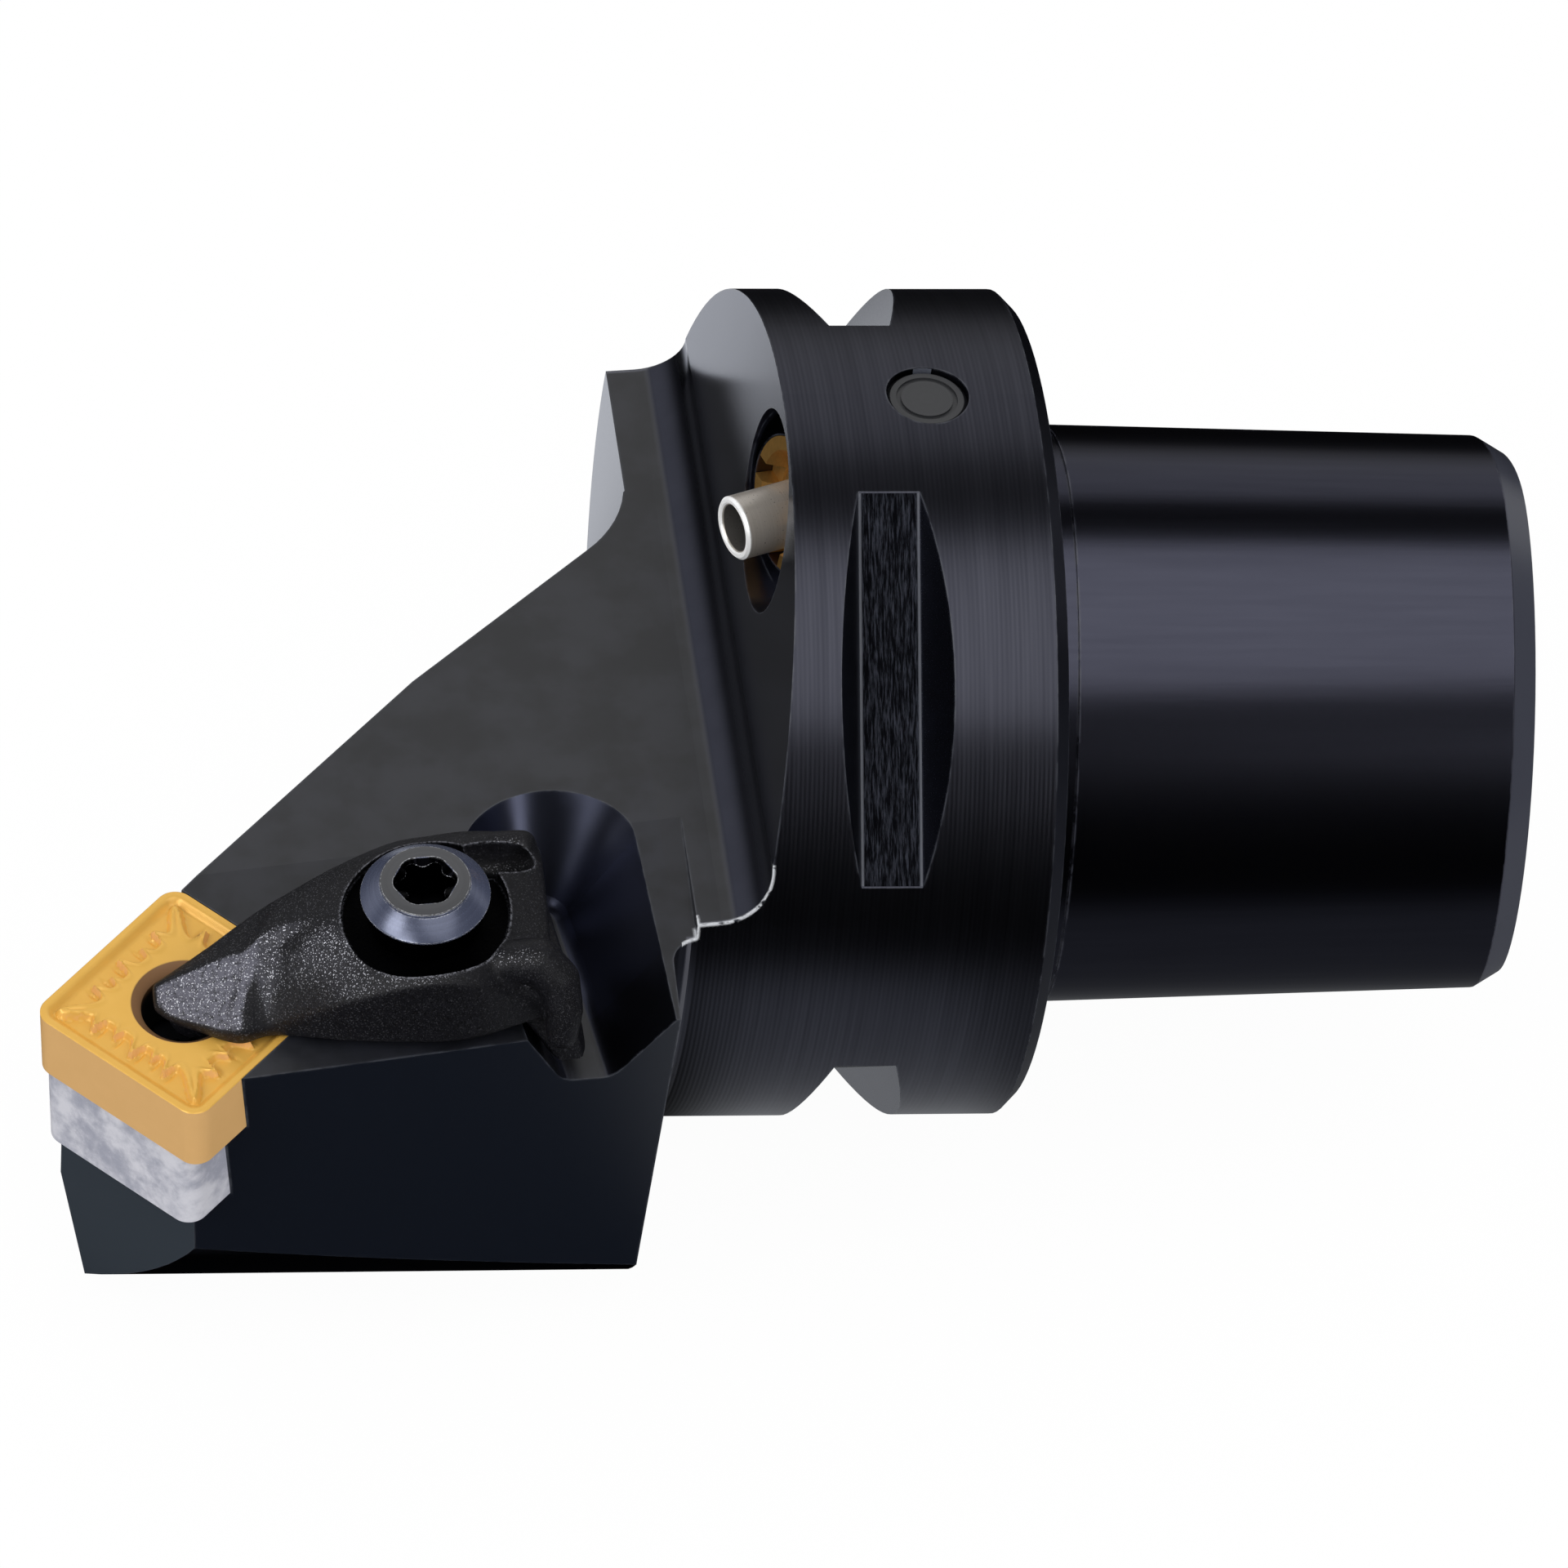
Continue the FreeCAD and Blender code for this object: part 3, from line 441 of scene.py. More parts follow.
gold, shader, place = finish("gold_coating", IOR=1.6, Metallic=0.25)
level, from_axis = round_axis(place, hole_centre, seat_normal)
facing = share_along(place.node("NewGeometry", out=1), seat_normal)
pressed = between(facing * facing, 0.1, 0.3)
haze = grain(stretched(place, 1, 1, 1), 0.6, 5.0)
dust = grain(stretched(place, 1, 1, 1), 14.0, 2.0)
colour = tint(haze, srgb(226, 178, 114), srgb(234, 186, 122))
colour = tint(pressed, colour, tint(haze, srgb(224, 172, 74), srgb(234, 184, 88)))
hole_zone = (from_axis < hole_mouth + 0.05) * between(level, 0.02, -0.04)
colour = tint(hole_zone, colour, srgb(150, 112, 78))
# painted shade: the coating deep inside the hole is painted near black
colour = tint((from_axis < hole_radius + 0.22) * between(level, -0.3, -1.2), colour, srgb(24, 20, 18))
height = dust * 0.0000022 + haze * 0.000004
feed(shader, Base_Color=colour, Roughness=0.3 + 0.1 * dust,
     Normal=relief(height, 0.7))
insert.data.materials.append(gold)
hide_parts("insert")
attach(insert, "holder")


# Shim and its screw
# A ground carbide plate, mottled grey, that carries the insert; its countersunk six-lobe screw
# is hidden under the insert.

def rounded_plate(low, high, bottom, top, corner_radius, bevel):
    # outline rows of a plate with rounded corners, from its bottom to its top, in insert coordinates
    rows = []
    for w, shrink in ((bottom, bevel), (bottom + bevel, 0.0), (top - bevel, 0.0), (top, bevel)):
        row = []
        for k in range(4):
            ca = (high[0] if k in (0, 3) else low[0]) + (-corner_radius if k in (0, 3) else corner_radius)
            cb = (high[1] if k in (0, 1) else low[1]) + (-corner_radius if k in (0, 1) else corner_radius)
            for i in range(17):
                angle = math.pi / 2 * (k + i / 16)
                a = ca + (corner_radius - shrink) * math.cos(angle)
                b = cb + (corner_radius - shrink) * math.sin(angle)
                row.append(((a - b) * math.sqrt(0.5), (a + b) * math.sqrt(0.5), w))
        rows.append(row)
    return rows


mesh = bmesh.new()
shim_thick, shim_inset, shim_step, shim_bevel = 6.4, 0.25, 0.9, 0.06
shim_hole, shim_sink = 2.8, 3.7
shim_top, shim_low = -insert_thick, -insert_thick - shim_thick
shim_far = insert_side / 2 - shim_inset
shim_near = insert_side / 2 - shim_step
rows = [[mesh.verts.new(seat @ Vector(p)) for p in row]
        for row in rounded_plate((-shim_far, -shim_near), (shim_far, shim_far), shim_low, shim_top,
                                 insert_nose, shim_bevel)]
# the hole has as many points as the outline and starts in the same direction
turns = [2 * math.pi * (k + 8) / 68 for k in range(68)]
for r, w in ((shim_sink, shim_top), (shim_hole, shim_top - shim_sink + shim_hole), (shim_hole, shim_low)):
    around = [(r * math.cos(turn), r * math.sin(turn), w) for turn in turns]
    rows.append([mesh.verts.new(seat @ Vector(point)) for point in around])
for first, second in zip(rows, rows[1:] + rows[:1]):
    join_rows(mesh, first, second)
shim = piece("shim_ground", mesh, 30)

grey_carbide, shader, place = finish("grey_carbide", IOR=1.6, Metallic=0.1)
clouds = grain(stretched(place, 1, 1, 1), 0.42, 6.0, 0.62)
specks = grain(stretched(place, 1, 1, 1), 7.0, 3.0)
ground = grain(stretched(place, 1, 1, 0.1), 5.0, 3.0)
colour = tint(between(clouds, 0.36, 0.64), srgb(156, 158, 172), srgb(204, 204, 212))
colour = tint(between(specks, 0.6, 0.8, 0.0, 0.5), colour, srgb(225, 225, 228))
height = specks * 0.000004 + ground * 0.000003
feed(shader, Base_Color=colour, Roughness=0.42 + 0.12 * specks,
     Normal=relief(height, 0.6))
shim.data.materials.append(grey_carbide)
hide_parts("shim")
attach(shim, "holder")

dark_screw, shader, place = finish("dark_screw", IOR=1.9, Metallic=0.5)
rings = grain(stretched(place, 1, 1, 1), 1.2, 4.0)
scratch = grain(stretched(place, 1, 1, 1), 9.0, 3.0)
colour = tint(rings, srgb(30, 32, 40), srgb(48, 50, 58))
height = scratch * 0.000003
feed(shader, Base_Color=colour, Roughness=0.25 + 0.12 * scratch,
     Normal=relief(height))
coat("shim_screw", dark_screw)


# Clamp
# A blasted steel forging: its nose reaches into the insert hole, its foot bears on the slot wall.
# The screw recess and the bore are machined after forging, so only they have crisp edges.

screw_u, recess_radius, recess_floor = 14.2, 4.95, 6.1
bore_radius, spring_radius, spring_top = 2.85, 3.7, 2.2
pin_radius, pin_u = 1.7, 0.7
hollow_centre, hollow_half = (18.6, 3.35, 7.3), (2.6, 1.1, 1.9)
# stations: u, near half width, far half width, crest, near shoulder, far shoulder, underside
stations = (
    (-1.85, 0.8, 0.7, 1.3, 0.7, 0.9, 0.0),
    (-0.9, 1.8, 1.1, 1.85, 0.7, 1.35, 0.0),
    (0.6, 2.65, 1.7, 2.55, 0.9, 2.0, 0.0),
    (2.0, 3.45, 2.3, 3.2, 1.05, 2.6, 0.0),
    (3.2, 3.8, 2.9, 3.75, 1.25, 3.1, 0.0),
    (4.6, 3.35, 3.5, 4.5, 0.9, 3.7, 0.0),
    (6.2, 3.6, 4.1, 5.3, 2.0, 4.2, 0.1),
    (9.0, 4.6, 5.0, 6.5, 4.2, 5.2, 0.6),
    (12.5, 5.3, 5.8, 7.4, 6.0, 6.2, 0.9),
    (14.8, 5.5, 5.9, 7.6, 6.4, 6.5, 0.9),
    (17.0, 5.3, 6.0, 7.5, 5.6, 6.6, 0.9),
    (19.0, 4.7, 5.9, 6.9, 4.0, 6.4, 0.9),
    (20.4, 4.3, 5.6, 6.5, 3.2, 6.1, 0.9),
    (21.4, 4.2, 5.1, 6.0, 2.8, 5.6, 1.0),
)


def across_section(u, near, far, crest, near_shoulder, far_shoulder, under):
    # points round the forging at one station, as (v, w); flat facets up to the crease behind the nose
    points = [(-near + 0.25, under), (far - 0.25, under), (far, under + 0.3), (far, far_shoulder)]
    for i in range(1, 12):
        t = i / 12
        v = far + (-near - far) * t
        # the crease runs slantwise: further back on the far side than on the near side
        flat = 1 - step(u - 0.45 * v, 3.3, 4.3)
        facet = (far_shoulder + (crest - far_shoulder) * (far - v) / (far - 0.3) if v > 0.3
                 else near_shoulder + (crest - near_shoulder) * (near + v) / (near + 0.3))
        waist = 0.55 * math.exp(-((u - 0.45 * v - 5.4) / 1.3) ** 2) * math.sin(math.pi * t) * (v < 0.3)
        bow = (4 * t * (1 - t)) ** (0.6 + 0.4 * (1 - step(u, 8.0, 12.0)))
        ridge = max(0.0, 1 - abs(v + 0.6) / 2.6)
        straight = far_shoulder + (near_shoulder - far_shoulder) * t
        middle = (far_shoulder + near_shoulder) / 2
        round_top = straight + (crest - middle) * (bow * 0.86 + 0.14 * ridge) - waist
        points.append((v, facet * flat + round_top * (1 - flat)))
    points += [(-near, near_shoulder), (-near, under + 0.3)]
    return points


def smooth_stations(rows, per_span):
    # fills in between the stations on a smooth curve
    filled = []
    for i in range(len(rows) - 1):
        p0, p1, p2, p3 = rows[max(i - 1, 0)], rows[i], rows[i + 1], rows[min(i + 2, len(rows) - 1)]
        for k in range(per_span):
            t = k / per_span
            filled.append(tuple(0.5 * (2 * b + (c - a) * t + (2 * a - 5 * b + 4 * c - d) * t * t
                                       + (3 * b - a - 3 * c + d) * t ** 3)
                                for a, b, c, d in zip(p0, p1, p2, p3)))
    filled.append(rows[-1])
    return filled


def add_bar(mesh, start, end, start_radius, end_radius):
    # a round-ended bar between two points, for the forging's ribs and bosses
    start, end = Vector(start), Vector(end)
    axis = end - start
    turn = Vector((0, 0, 1)).rotation_difference(axis).to_matrix().to_4x4()
    bmesh.ops.create_cone(mesh, cap_ends=True, segments=24, radius1=start_radius, radius2=end_radius,
                          depth=axis.length, matrix=Matrix.Translation((start + end) / 2) @ turn)
    for point, size in ((start, start_radius), (end, end_radius)):
        bmesh.ops.create_icosphere(mesh, subdivisions=3, radius=size, matrix=Matrix.Translation(point))


def apply_modifiers(target):
    # turns an object with live modifiers into a plain mesh
    bpy.context.view_layer.update()
    graph = bpy.context.evaluated_depsgraph_get()
    plain = bpy.data.meshes.new_from_object(target.evaluated_get(graph))
    target.modifiers.clear()
    target.data = plain


def screw_rod(name, radius, bottom, top, sides):
    # a rod on the screw's axis
    rod = bmesh.new()
    middle = Matrix.Translation((screw_u, 0, (bottom + top) / 2))
    bmesh.ops.create_cone(rod, cap_ends=True, segments=sides, radius1=radius, radius2=radius,
                          depth=top - bottom, matrix=middle)
    return piece(name, rod)


def cut_away(target, cutters):
    # takes the cutters out of a piece, then removes them
    for cutter in cutters:
        cut = target.modifiers.new("cut", "BOOLEAN")
        cut.operation, cut.object, cut.solver = "DIFFERENCE", cutter, "MANIFOLD"
    apply_modifiers(target)
    for cutter in cutters:
        bpy.data.objects.remove(cutter)


mesh = bmesh.new()
rows = []
for u, near, far, crest, near_shoulder, far_shoulder, under in smooth_stations(stations, 4):
    rows.append([mesh.verts.new((u, v, w))
                 for v, w in across_section(u, near, far, crest, near_shoulder, far_shoulder, under)])
for first, second in zip(rows, rows[1:]):
    join_rows(mesh, first, second)
mesh.faces.new(rows[0])
mesh.faces.new(rows[-1][::-1])
# pin of the nose in the insert hole
bmesh.ops.create_cone(mesh, cap_ends=True, segments=40, radius1=pin_radius, radius2=pin_radius, depth=2.6,
                      matrix=Matrix.Translation((pin_u, 0, -0.3)))
# rounded shoulder behind the screw and the rib that runs down to the foot
shoulder = ((18.6, -3.2, 5.3, 1.2), (20.5, -3.2, 5.2, 1.4), (21.6, -3.9, 4.2, 1.3),
            (21.9, -4.8, 2.5, 1.1), (21.7, -5.2, 0.9, 1.0))
for first, second in zip(shoulder, shoulder[1:]):
    add_bar(mesh, first[:3], second[:3], first[3], second[3])
# hood on the far side
add_bar(mesh, (16.5, 5.0, 6.3), (20.3, 4.7, 6.4), 0.8, 0.9)
# the foot, a wedge in the slot behind, in millimetres from the slot's end: place, taper and top
feet = ((-4.4, 0.5, 4.6), (-5.2, 0.0, 5.2), (-10.6, 0.0, 5.0), (-12.2, 0.2, 3.2), (-13.0, 0.6, 1.4))
slot_turn = Matrix.Translation((-29.95, -17.3, 0)) @ Matrix.Rotation(math.radians(7.5), 4, "Z")
to_seat = seat.inverted() @ Matrix.Scale(mm, 4) @ slot_turn
foot_rows = []
for y_at, pinch, top in feet:
    rise = (top + 0.4) / 5.6
    foot_rows.append([mesh.verts.new(to_seat @ Vector(p)) for p in (
        (-2.32 + pinch, y_at, -0.4), (0.25 - pinch, y_at, -0.4),
        (0.25 - 1.5 * rise - pinch, y_at, top), (-2.32 - 3.5 * rise + pinch, y_at, top))])
for first, second in zip(foot_rows, foot_rows[1:]):
    join_rows(mesh, first, second)
mesh.faces.new(foot_rows[0])
mesh.faces.new(foot_rows[-1][::-1])
forging = piece("clamp_forged", mesh)
# one skin over all these bodies, then the rounding of the die
skin = forging.modifiers.new("skin", "REMESH")
skin.mode, skin.voxel_size, skin.use_smooth_shade = "VOXEL", 0.15, True
soften = forging.modifiers.new("soften", "SMOOTH")
soften.factor, soften.iterations = 0.5, 20
apply_modifiers(forging)

hollow_mesh = bmesh.new()
bmesh.ops.create_icosphere(hollow_mesh, subdivisions=4, radius=1.0, matrix=Matrix.Translation(hollow_centre)
                           @ Matrix.Rotation(math.radians(-4), 4, "Z") @ Matrix.Diagonal((*hollow_half, 1)))
cut_away(forging, (screw_rod("recess_cut", recess_radius, recess_floor, recess_floor + 8, 128),
                   screw_rod("bore_cut", bore_radius, -15, 15, 96),
                   screw_rod("spring_cut", spring_radius, spring_top - 10, spring_top, 96),
                   piece("hollow_cut", hollow_mesh)))
forging.data.transform(seat)
smooth(forging.data, 38)

blasted, shader, place = finish("blasted_forging", IOR=1.45)
local = place.node("VectorMath", {"operation": "SUBTRACT"}, _0=place, _1=tuple(hole_centre * mm))
u_at, v_at, w_at = (share_along(local, axis) * 1000.0 for axis in (along, across, seat_normal))
sunny = share_along(place.node("NewGeometry", out=1), (-0.33, -0.52, 0.79))
mottle = grain(stretched(place, 1, 1, 1), 0.5, 5.0)
pits = grain(stretched(place, 1, 1, 1), 3.4, 5.0, 0.7)
grit = grain(stretched(place, 1, 1, 1), 7.0, 2.0)
# painted highlight: faces turned to the lamps are painted lighter on the nose facet, and painted glints
# sparkle along the crest up to the recess
lamp_facing_highlight = between(sunny, 0.9, 0.98) * between(u_at, 12.0, 5.0)
speck = grain(stretched(place, 1, 1, 1), 11.0, 2.0, 0.4)
glint = between(speck, 0.6, 0.68) * between(sunny, 0.88, 0.985, 0.1, 1.0) * between(u_at, 13.0, 7.0, 0.4, 1.0)
colour = tint(mottle, srgb(10, 10, 15), srgb(20, 20, 27))
painted_highlight_colour = tint(pits, srgb(56, 56, 66), srgb(104, 104, 116))
colour = tint(lamp_facing_highlight * between(u_at, 4.8, 3.8, 0.3, 1.0), colour, painted_highlight_colour)
colour = tint(between(pits, 0.5, 0.34) * 0.8, colour, srgb(7, 7, 10))
colour = tint(glint, colour, srgb(206, 207, 216))
# painted shade: the screw's recess, machined after forging, and the hollow under the hood are painted near
# black and made metal, so they mirror almost nothing
off_screw = ((u_at - screw_u) * (u_at - screw_u) + v_at * v_at) ** 0.5
recess_painted_shade = between(off_screw, recess_radius + 0.05, recess_radius - 0.05) * (w_at > recess_floor - 0.2)
colour = tint(recess_painted_shade, colour, srgb(6, 6, 8))
hollow_at = (((u_at - 18.6) / 2.5) ** 2.0 + ((v_at - 3.3) / 1.05) ** 2.0 + ((w_at - 7.2) / 1.8) ** 2.0)
hollow = between(hollow_at, 1.1, 0.9)
colour = tint(hollow, colour, srgb(8, 8, 10))
# edge wear, with painted glints: some sharp edges are painted light grey
rub_and_glint = edge_mask_for_wear_and_glints(place, 0.00025) * between(grit, 0.4, 0.6)
colour = tint(rub_and_glint * 0.7, colour, srgb(118, 119, 128))
height = pits * 0.00005 + speck * 0.00001
feed(shader, Base_Color=colour, Roughness=0.44 + 0.1 * pits,
     Metallic=0.1 + 0.9 * between(recess_painted_shade + hollow, 0.0, 1.0), Normal=relief(height, 0.9))
forging.data.materials.clear()
forging.data.materials.append(blasted)
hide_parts("clamp")
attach(forging, "clamp")


# Clamp screw
# Turned and blackened: a flat ground ring round the six-lobe socket, a polished cone and a collar
# that presses on the clamp; the shaft runs through the spring into the holder.

screw_top, undercut_top = 9.4, 7.9
# radius and level down the outside, from the top's middle to the end of the shaft
profile = ((1.2, screw_top), (2.35, screw_top), (2.62, 9.36), (2.68, 9.28), (2.68, 9.12), (2.77, 9.06),
           (3.72, 8.3), (3.8, 8.2), (3.76, 8.05), (3.45, 7.85), (3.35, 7.6), (3.35, recess_floor),
           (2.5, recess_floor), (2.5, -11.0), (2.0, -11.5), (0.6, -11.5))
mesh = bmesh.new()
rows = []
for r, w in profile:
    rows.append([mesh.verts.new((screw_u + r * math.cos(2 * math.pi * k / 144),
                                 r * math.sin(2 * math.pi * k / 144), w)) for k in range(144)])
for first, second in zip(rows, rows[1:]):
    join_rows(mesh, first, second)
mesh.faces.new(rows[0])
mesh.faces.new(rows[-1][::-1])
screw = piece("clamp_screw_turned", mesh)
# six-lobe socket with a countersunk mouth
socket_mesh = bmesh.new()
socket_rows = []
for w, lobes in ((7.6, 1.0), (9.1, 1.0), (9.5, 0.0)):
    row = []
    for k in range(144):
        angle = 2 * math.pi * k / 144
        lobe = math.cos(6 * angle)
        r = (1.5 + 0.23 * (abs(lobe) ** 0.7) * (1 if lobe > 0 else -1)) * lobes + 1.96 * (1 - lobes)
        row.append(socket_mesh.verts.new((screw_u + r * math.cos(angle), r * math.sin(angle), w)))
    socket_rows.append(row)
for first, second in zip(socket_rows, socket_rows[1:]):
    join_rows(socket_mesh, first, second)
socket_mesh.faces.new(socket_rows[0])
socket_mesh.faces.new(socket_rows[-1][::-1])
cut_away(screw, (piece("socket_cut", socket_mesh),))
screw.data.transform(seat)
smooth(screw.data, 22)

screw_steel, shader, place = finish("screw_steel", IOR=2.0)
level, from_axis = round_axis(place, hole_centre + along * screw_u, seat_normal)
turned = place.node("CombineXYZ", _0=from_axis, _1=level * 0.6)
lines = grain(turned, 9.0, 3.0)
fine = grain(stretched(place, 1, 1, 1), 8.0, 3.0)
ring = (level > screw_top - 0.1) * (from_axis > 1.8)
socket_painted_shade = (from_axis < 1.95) * between(level, screw_top - 0.01, screw_top - 0.04)
colour = tint(lines, srgb(68, 74, 96), srgb(98, 105, 130))
colour = tint(ring, colour, tint(lines, srgb(54, 55, 58), srgb(76, 77, 81)))
# painted shade: the inside of the socket is near black metal, so it mirrors almost nothing
colour = tint(socket_painted_shade, colour, srgb(6, 6, 8))
# painted shade: the collar wall below the cone is painted near black
colour = tint(between(level, undercut_top + 0.2, undercut_top), colour, srgb(7, 7, 9))
edge = edge_mask_for_wear_and_glints(place, 0.00009)
# painted glints: some sharp edges above the collar are painted near white
colour = tint(edge * between(fine, 0.4, 0.6) * (level > undercut_top), colour, srgb(205, 207, 214))
height = lines * 0.000004 + fine * 0.000002
feed(shader, Base_Color=colour, Roughness=0.2 + 0.12 * fine + ring * 0.15,
     Metallic=0.5 - 0.25 * ring + 0.5 * between(socket_painted_shade + (level < undercut_top), 0.0, 1.0),
     Normal=relief(height))
screw.data.materials.clear()
screw.data.materials.append(screw_steel)
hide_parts("clamp_screw")
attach(screw, "clamp_screw")


# Clamp spring
# Drawn spring wire under the clamp; it lifts the clamp when the screw is slackened.

spring_wire, shader, place = finish("spring_wire", Metallic=0.9)
drawn = grain(stretched(place, 1, 1, 1), 3.0, 4.0)
height = drawn * 0.000004
feed(shader, Base_Color=tint(drawn, srgb(120, 120, 124), srgb(160, 160, 164)), Roughness=0.28 + 0.15 * drawn,
     Normal=relief(height))
coat("clamp_spring", spring_wire)


# Coolant nozzle
# A bright steel tube pressed into a brass ball, held in the flange face by a slotted brass screw
# ring, with a rubber ring behind the ball.

ring_front, ring_axis = Vector((-15.05, -1.35, 17.34)), Vector((-0.945, -0.29, 0.13)).normalized()
ball_depth, tube_reach, tube_bore = 3.5, 7.2, 1.45
ball_centre = ring_front - ball_depth * ring_axis
tube_axis = Vector((-0.934, -0.375, 0.012)).normalized()

bright_tube, shader, place = finish("bright_tube", IOR=2.2)
reach, from_axis = round_axis(place, ball_centre, tube_axis)
turned = grain(place.node("CombineXYZ", _0=reach), 7.0, 3.0)
fine = grain(stretched(place, 1, 1, 1), 6.0, 3.0)
bore_painted_shade = (from_axis < tube_bore + 0.15) * (reach < tube_reach - 0.2)
tube_end_highlight = between(reach, tube_reach - 0.3, tube_reach - 0.1) * (from_axis > tube_bore + 0.05)
colour = tint(turned, srgb(168, 160, 150), srgb(214, 208, 200))
# painted shade: the inside of the bore is painted darker
colour = tint(bore_painted_shade, colour, srgb(104, 101, 98))
# painted highlight: the cut end of the tube is painted near white and matt
colour = tint(tube_end_highlight, colour, srgb(250, 250, 250))
height = turned * 0.000005 + fine * 0.000002
feed(shader, Base_Color=colour, Roughness=0.24 + 0.1 * fine, Metallic=0.5 - 0.4 * tube_end_highlight,
     Normal=relief(height))
coat("nozzle_tube", bright_tube)

brass, shader, place = finish("machined_brass", Metallic=0.85)
turned = grain(stretched(place, 3.0, 1, 1), 2.4, 4.0)
fine = grain(stretched(place, 1, 1, 1), 7.0, 3.0)
height = turned * 0.000006 + fine * 0.000003
feed(shader, Base_Color=tint(turned, srgb(196, 146, 78), srgb(234, 186, 108)), Roughness=0.26 + 0.14 * fine,
     Normal=relief(height))
for name in ("nozzle_ball", "nozzle_ring"):
    coat(name, brass)

rubber, shader, place = finish("seal_rubber", IOR=1.45)
bloom = grain(stretched(place, 1, 1, 1), 2.0, 4.0)
height = bloom * 0.000005
feed(shader, Base_Color=tint(bloom, srgb(24, 24, 25), srgb(34, 34, 35)), Roughness=0.6 + 0.15 * bloom,
     Normal=relief(height))
coat("nozzle_seal", rubber)


# Channel plug
# A round steel plug pressed into the rim to close the coolant cross drilling.

plug_centre, plug_mark = Vector((-7.2, 0.0, 0.0)), 2.2

plug_steel, shader, place = finish("plug_steel", IOR=1.8, Metallic=0.2)
from_axis = round_axis(place, plug_centre, Vector((0, 0, 1)))[1]
faced = grain(place.node("CombineXYZ", _0=from_axis), 4.0, 3.0)
fine = grain(stretched(place, 1, 1, 1), 8.0, 3.0)
colour = tint(faced, srgb(40, 41, 44), srgb(56, 57, 60))
colour = tint(from_axis > plug_mark, colour, srgb(24, 25, 28))
height = faced * 0.000005 + fine * 0.000003
feed(shader, Base_Color=colour, Roughness=0.4 + 0.1 * fine,
     Normal=relief(height))
coat("channel_plug", plug_steel)


# Floor, light and camera
# White sweep under the object.  The camera sees it white; polished faces see it white only behind
# the object and grey just under it, as in a studio tent that is open towards the camera.

mesh = bmesh.new()
lowest = cad_box[0][2]
reach = 4.0
mesh.faces.new([mesh.verts.new((px, py, lowest)) for px, py in
                ((-reach, -reach), (reach, -reach), (reach, reach), (-reach, reach))])
floor = piece("floor", mesh)
sweep = bpy.data.materials.new("white_sweep")
sweep.use_nodes = True
tree = sweep.node_tree
tree.nodes.clear()
start = Wire(tree)
rays = tree.nodes.new("ShaderNodeLightPath")
seen = Wire(tree, rays.outputs["Is Camera Ray"])
mirrored = start.math("MAXIMUM", Wire(tree, rays.outputs["Is Glossy Ray"]),
                      Wire(tree, rays.outputs["Is Transmission Ray"]))
floor_x, floor_y, _ = parts_of(start.node("TexCoord", out=3))
behind = (between(floor_y + 2.0 * floor_x + 0.055, 0.027, 0.047) * between(floor_x, -0.008, -0.016)
          * between(floor_y, 0.12, 0.09))
under = (between(floor_x, 0.004, -0.002, 0.13, 0.36) * between(floor_x, -0.021, -0.013)
         * between(floor_y, -0.075, -0.045) * between(floor_y, 0.05, 0.02))
paper = start.node("BsdfDiffuse", Color=(0.86, 0.86, 0.86))
white = start.node("Emission", Color=(1, 1, 1), Strength=1.0)
mirror_white = start.node("Emission", Color=(0.92, 0.95, 1.0), Strength=behind + under)
plain = start.node("MixShader", _0=mirrored, _1=paper, _2=mirror_white)
whole = start.node("MixShader", _0=seen * 0.97, _1=plain, _2=white)
tree.links.new(whole.socket, tree.nodes.new("ShaderNodeOutputMaterial").inputs[0])
floor.data.materials.append(sweep)

world = bpy.data.worlds.new("studio")
bpy.context.scene.world = world
world.use_nodes = True
tree = world.node_tree
tree.nodes.clear()
start = Wire(tree)
rays = tree.nodes.new("ShaderNodeLightPath")
seen = Wire(tree, rays.outputs["Is Camera Ray"])
mirrored = start.math("MAXIMUM", Wire(tree, rays.outputs["Is Glossy Ray"]),
                      Wire(tree, rays.outputs["Is Transmission Ray"]))
heading = start.node("TexCoord", out=0)
dx, dy, dz = parts_of(heading)
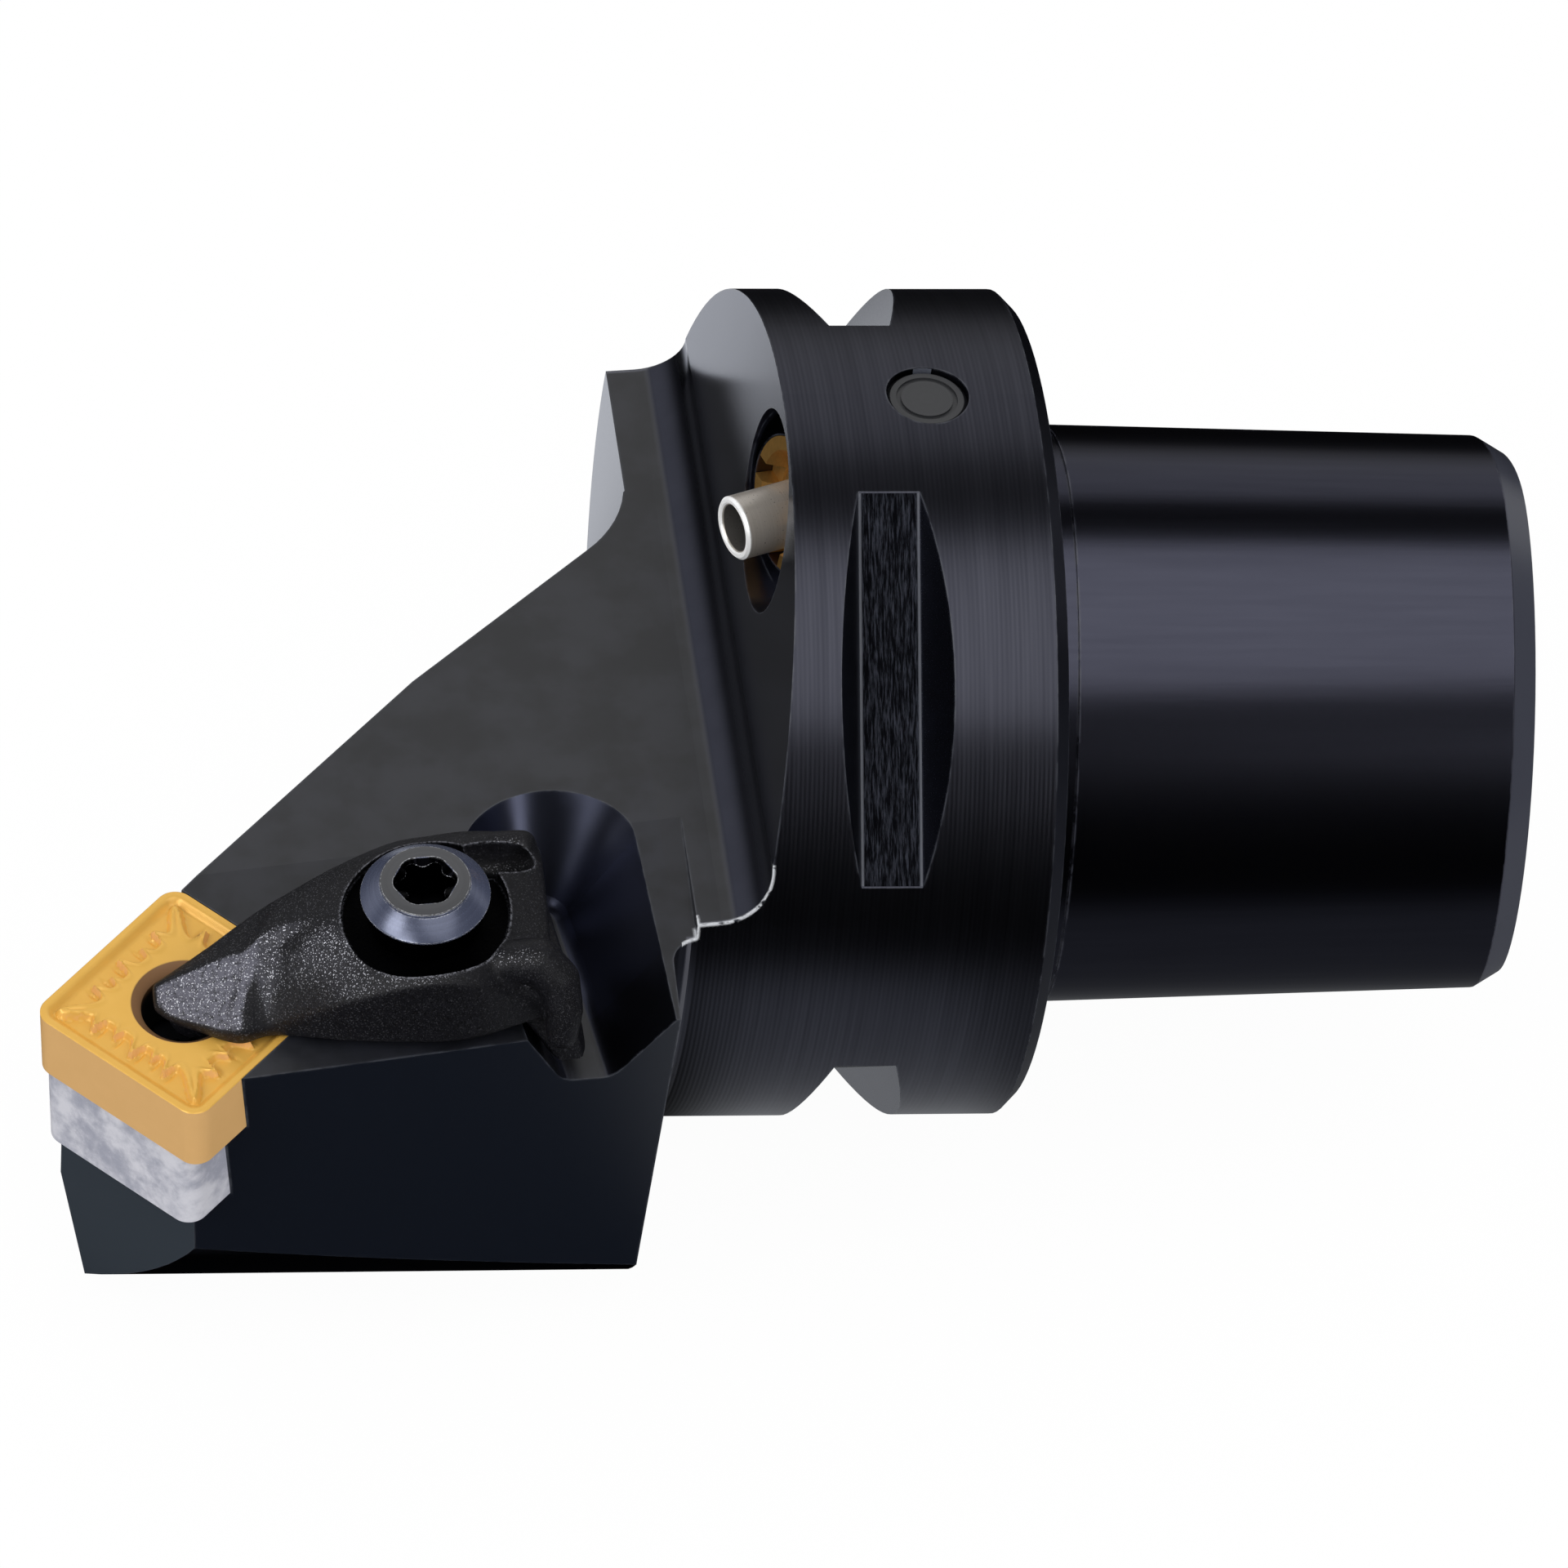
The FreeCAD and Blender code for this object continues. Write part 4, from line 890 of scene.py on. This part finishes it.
# what polished faces see above the floor: degrees from the front horizon, over the top, to the back
over = dz.math("ARCTAN2", dz, dy * -1.0) * math.degrees(1.0)
glow = 0.52 * between(over, 108, 124) * between(over, 186, 150)
# two small windows in front, left and right, that only steep curved walls mirror to the camera
windows = (((0.48, -0.83, 0.3), 0.07, 0.17), ((-0.57, -0.74, 0.33), 0.14, 0.3))
for toward, full, faded in windows:
    apart = heading.node("VectorMath", {"operation": "DISTANCE"}, out=1, _0=heading, _1=toward)
    glow = glow + 4.5 * between(apart, faded, full)
level = seen + (1 - seen) * (mirrored * glow + (1 - mirrored) * 0.92)
sky = start.node("Background", Color=(1, 1, 1), Strength=level)
tree.links.new(sky.socket, tree.nodes.new("ShaderNodeOutputWorld").inputs[0])


def lamp(name, position, aim, size, power):
    # a round soft lamp that points at its aim
    data = bpy.data.lights.new(name, "AREA")
    data.shape, data.size, data.energy = "DISK", size, power
    made = bpy.data.objects.new(name, data)
    bpy.context.scene.collection.objects.link(made)
    position, aim = Vector(position), Vector(aim)
    turn = (aim - position).to_track_quat("-Z", "Y").to_matrix().to_4x4()
    made.matrix_world = Matrix.Translation(position) @ turn


lamp("softbox", (0.1, -0.43, 0.79), (-0.02, 0, 0), 0.88, 2.2)
lamp("left", (-0.55, -0.28, 0.38), (-0.04, 0, 0), 0.3, 1.0)

camera_data = bpy.data.cameras.new("camera")
camera_data.sensor_fit = "HORIZONTAL"
camera_data.sensor_width, camera_data.lens = 36.0, 300.0
camera_data.clip_start, camera_data.clip_end = 0.05, 20.0
camera = bpy.data.objects.new("camera", camera_data)
bpy.context.scene.collection.objects.link(camera)
camera_at = (-0.1346, -0.5698, 0.5346)
right, up, back = (0.98814, -0.1143, 0.1025), (0.0044, 0.6883, 0.7254), (-0.15349, -0.7163, 0.6807)
camera_turn = Matrix((right, up, back)).transposed().to_4x4()
camera.matrix_world = Matrix.Translation(camera_at) @ camera_turn
bpy.context.scene.camera = camera

bpy.context.scene.view_settings.view_transform = "Standard"
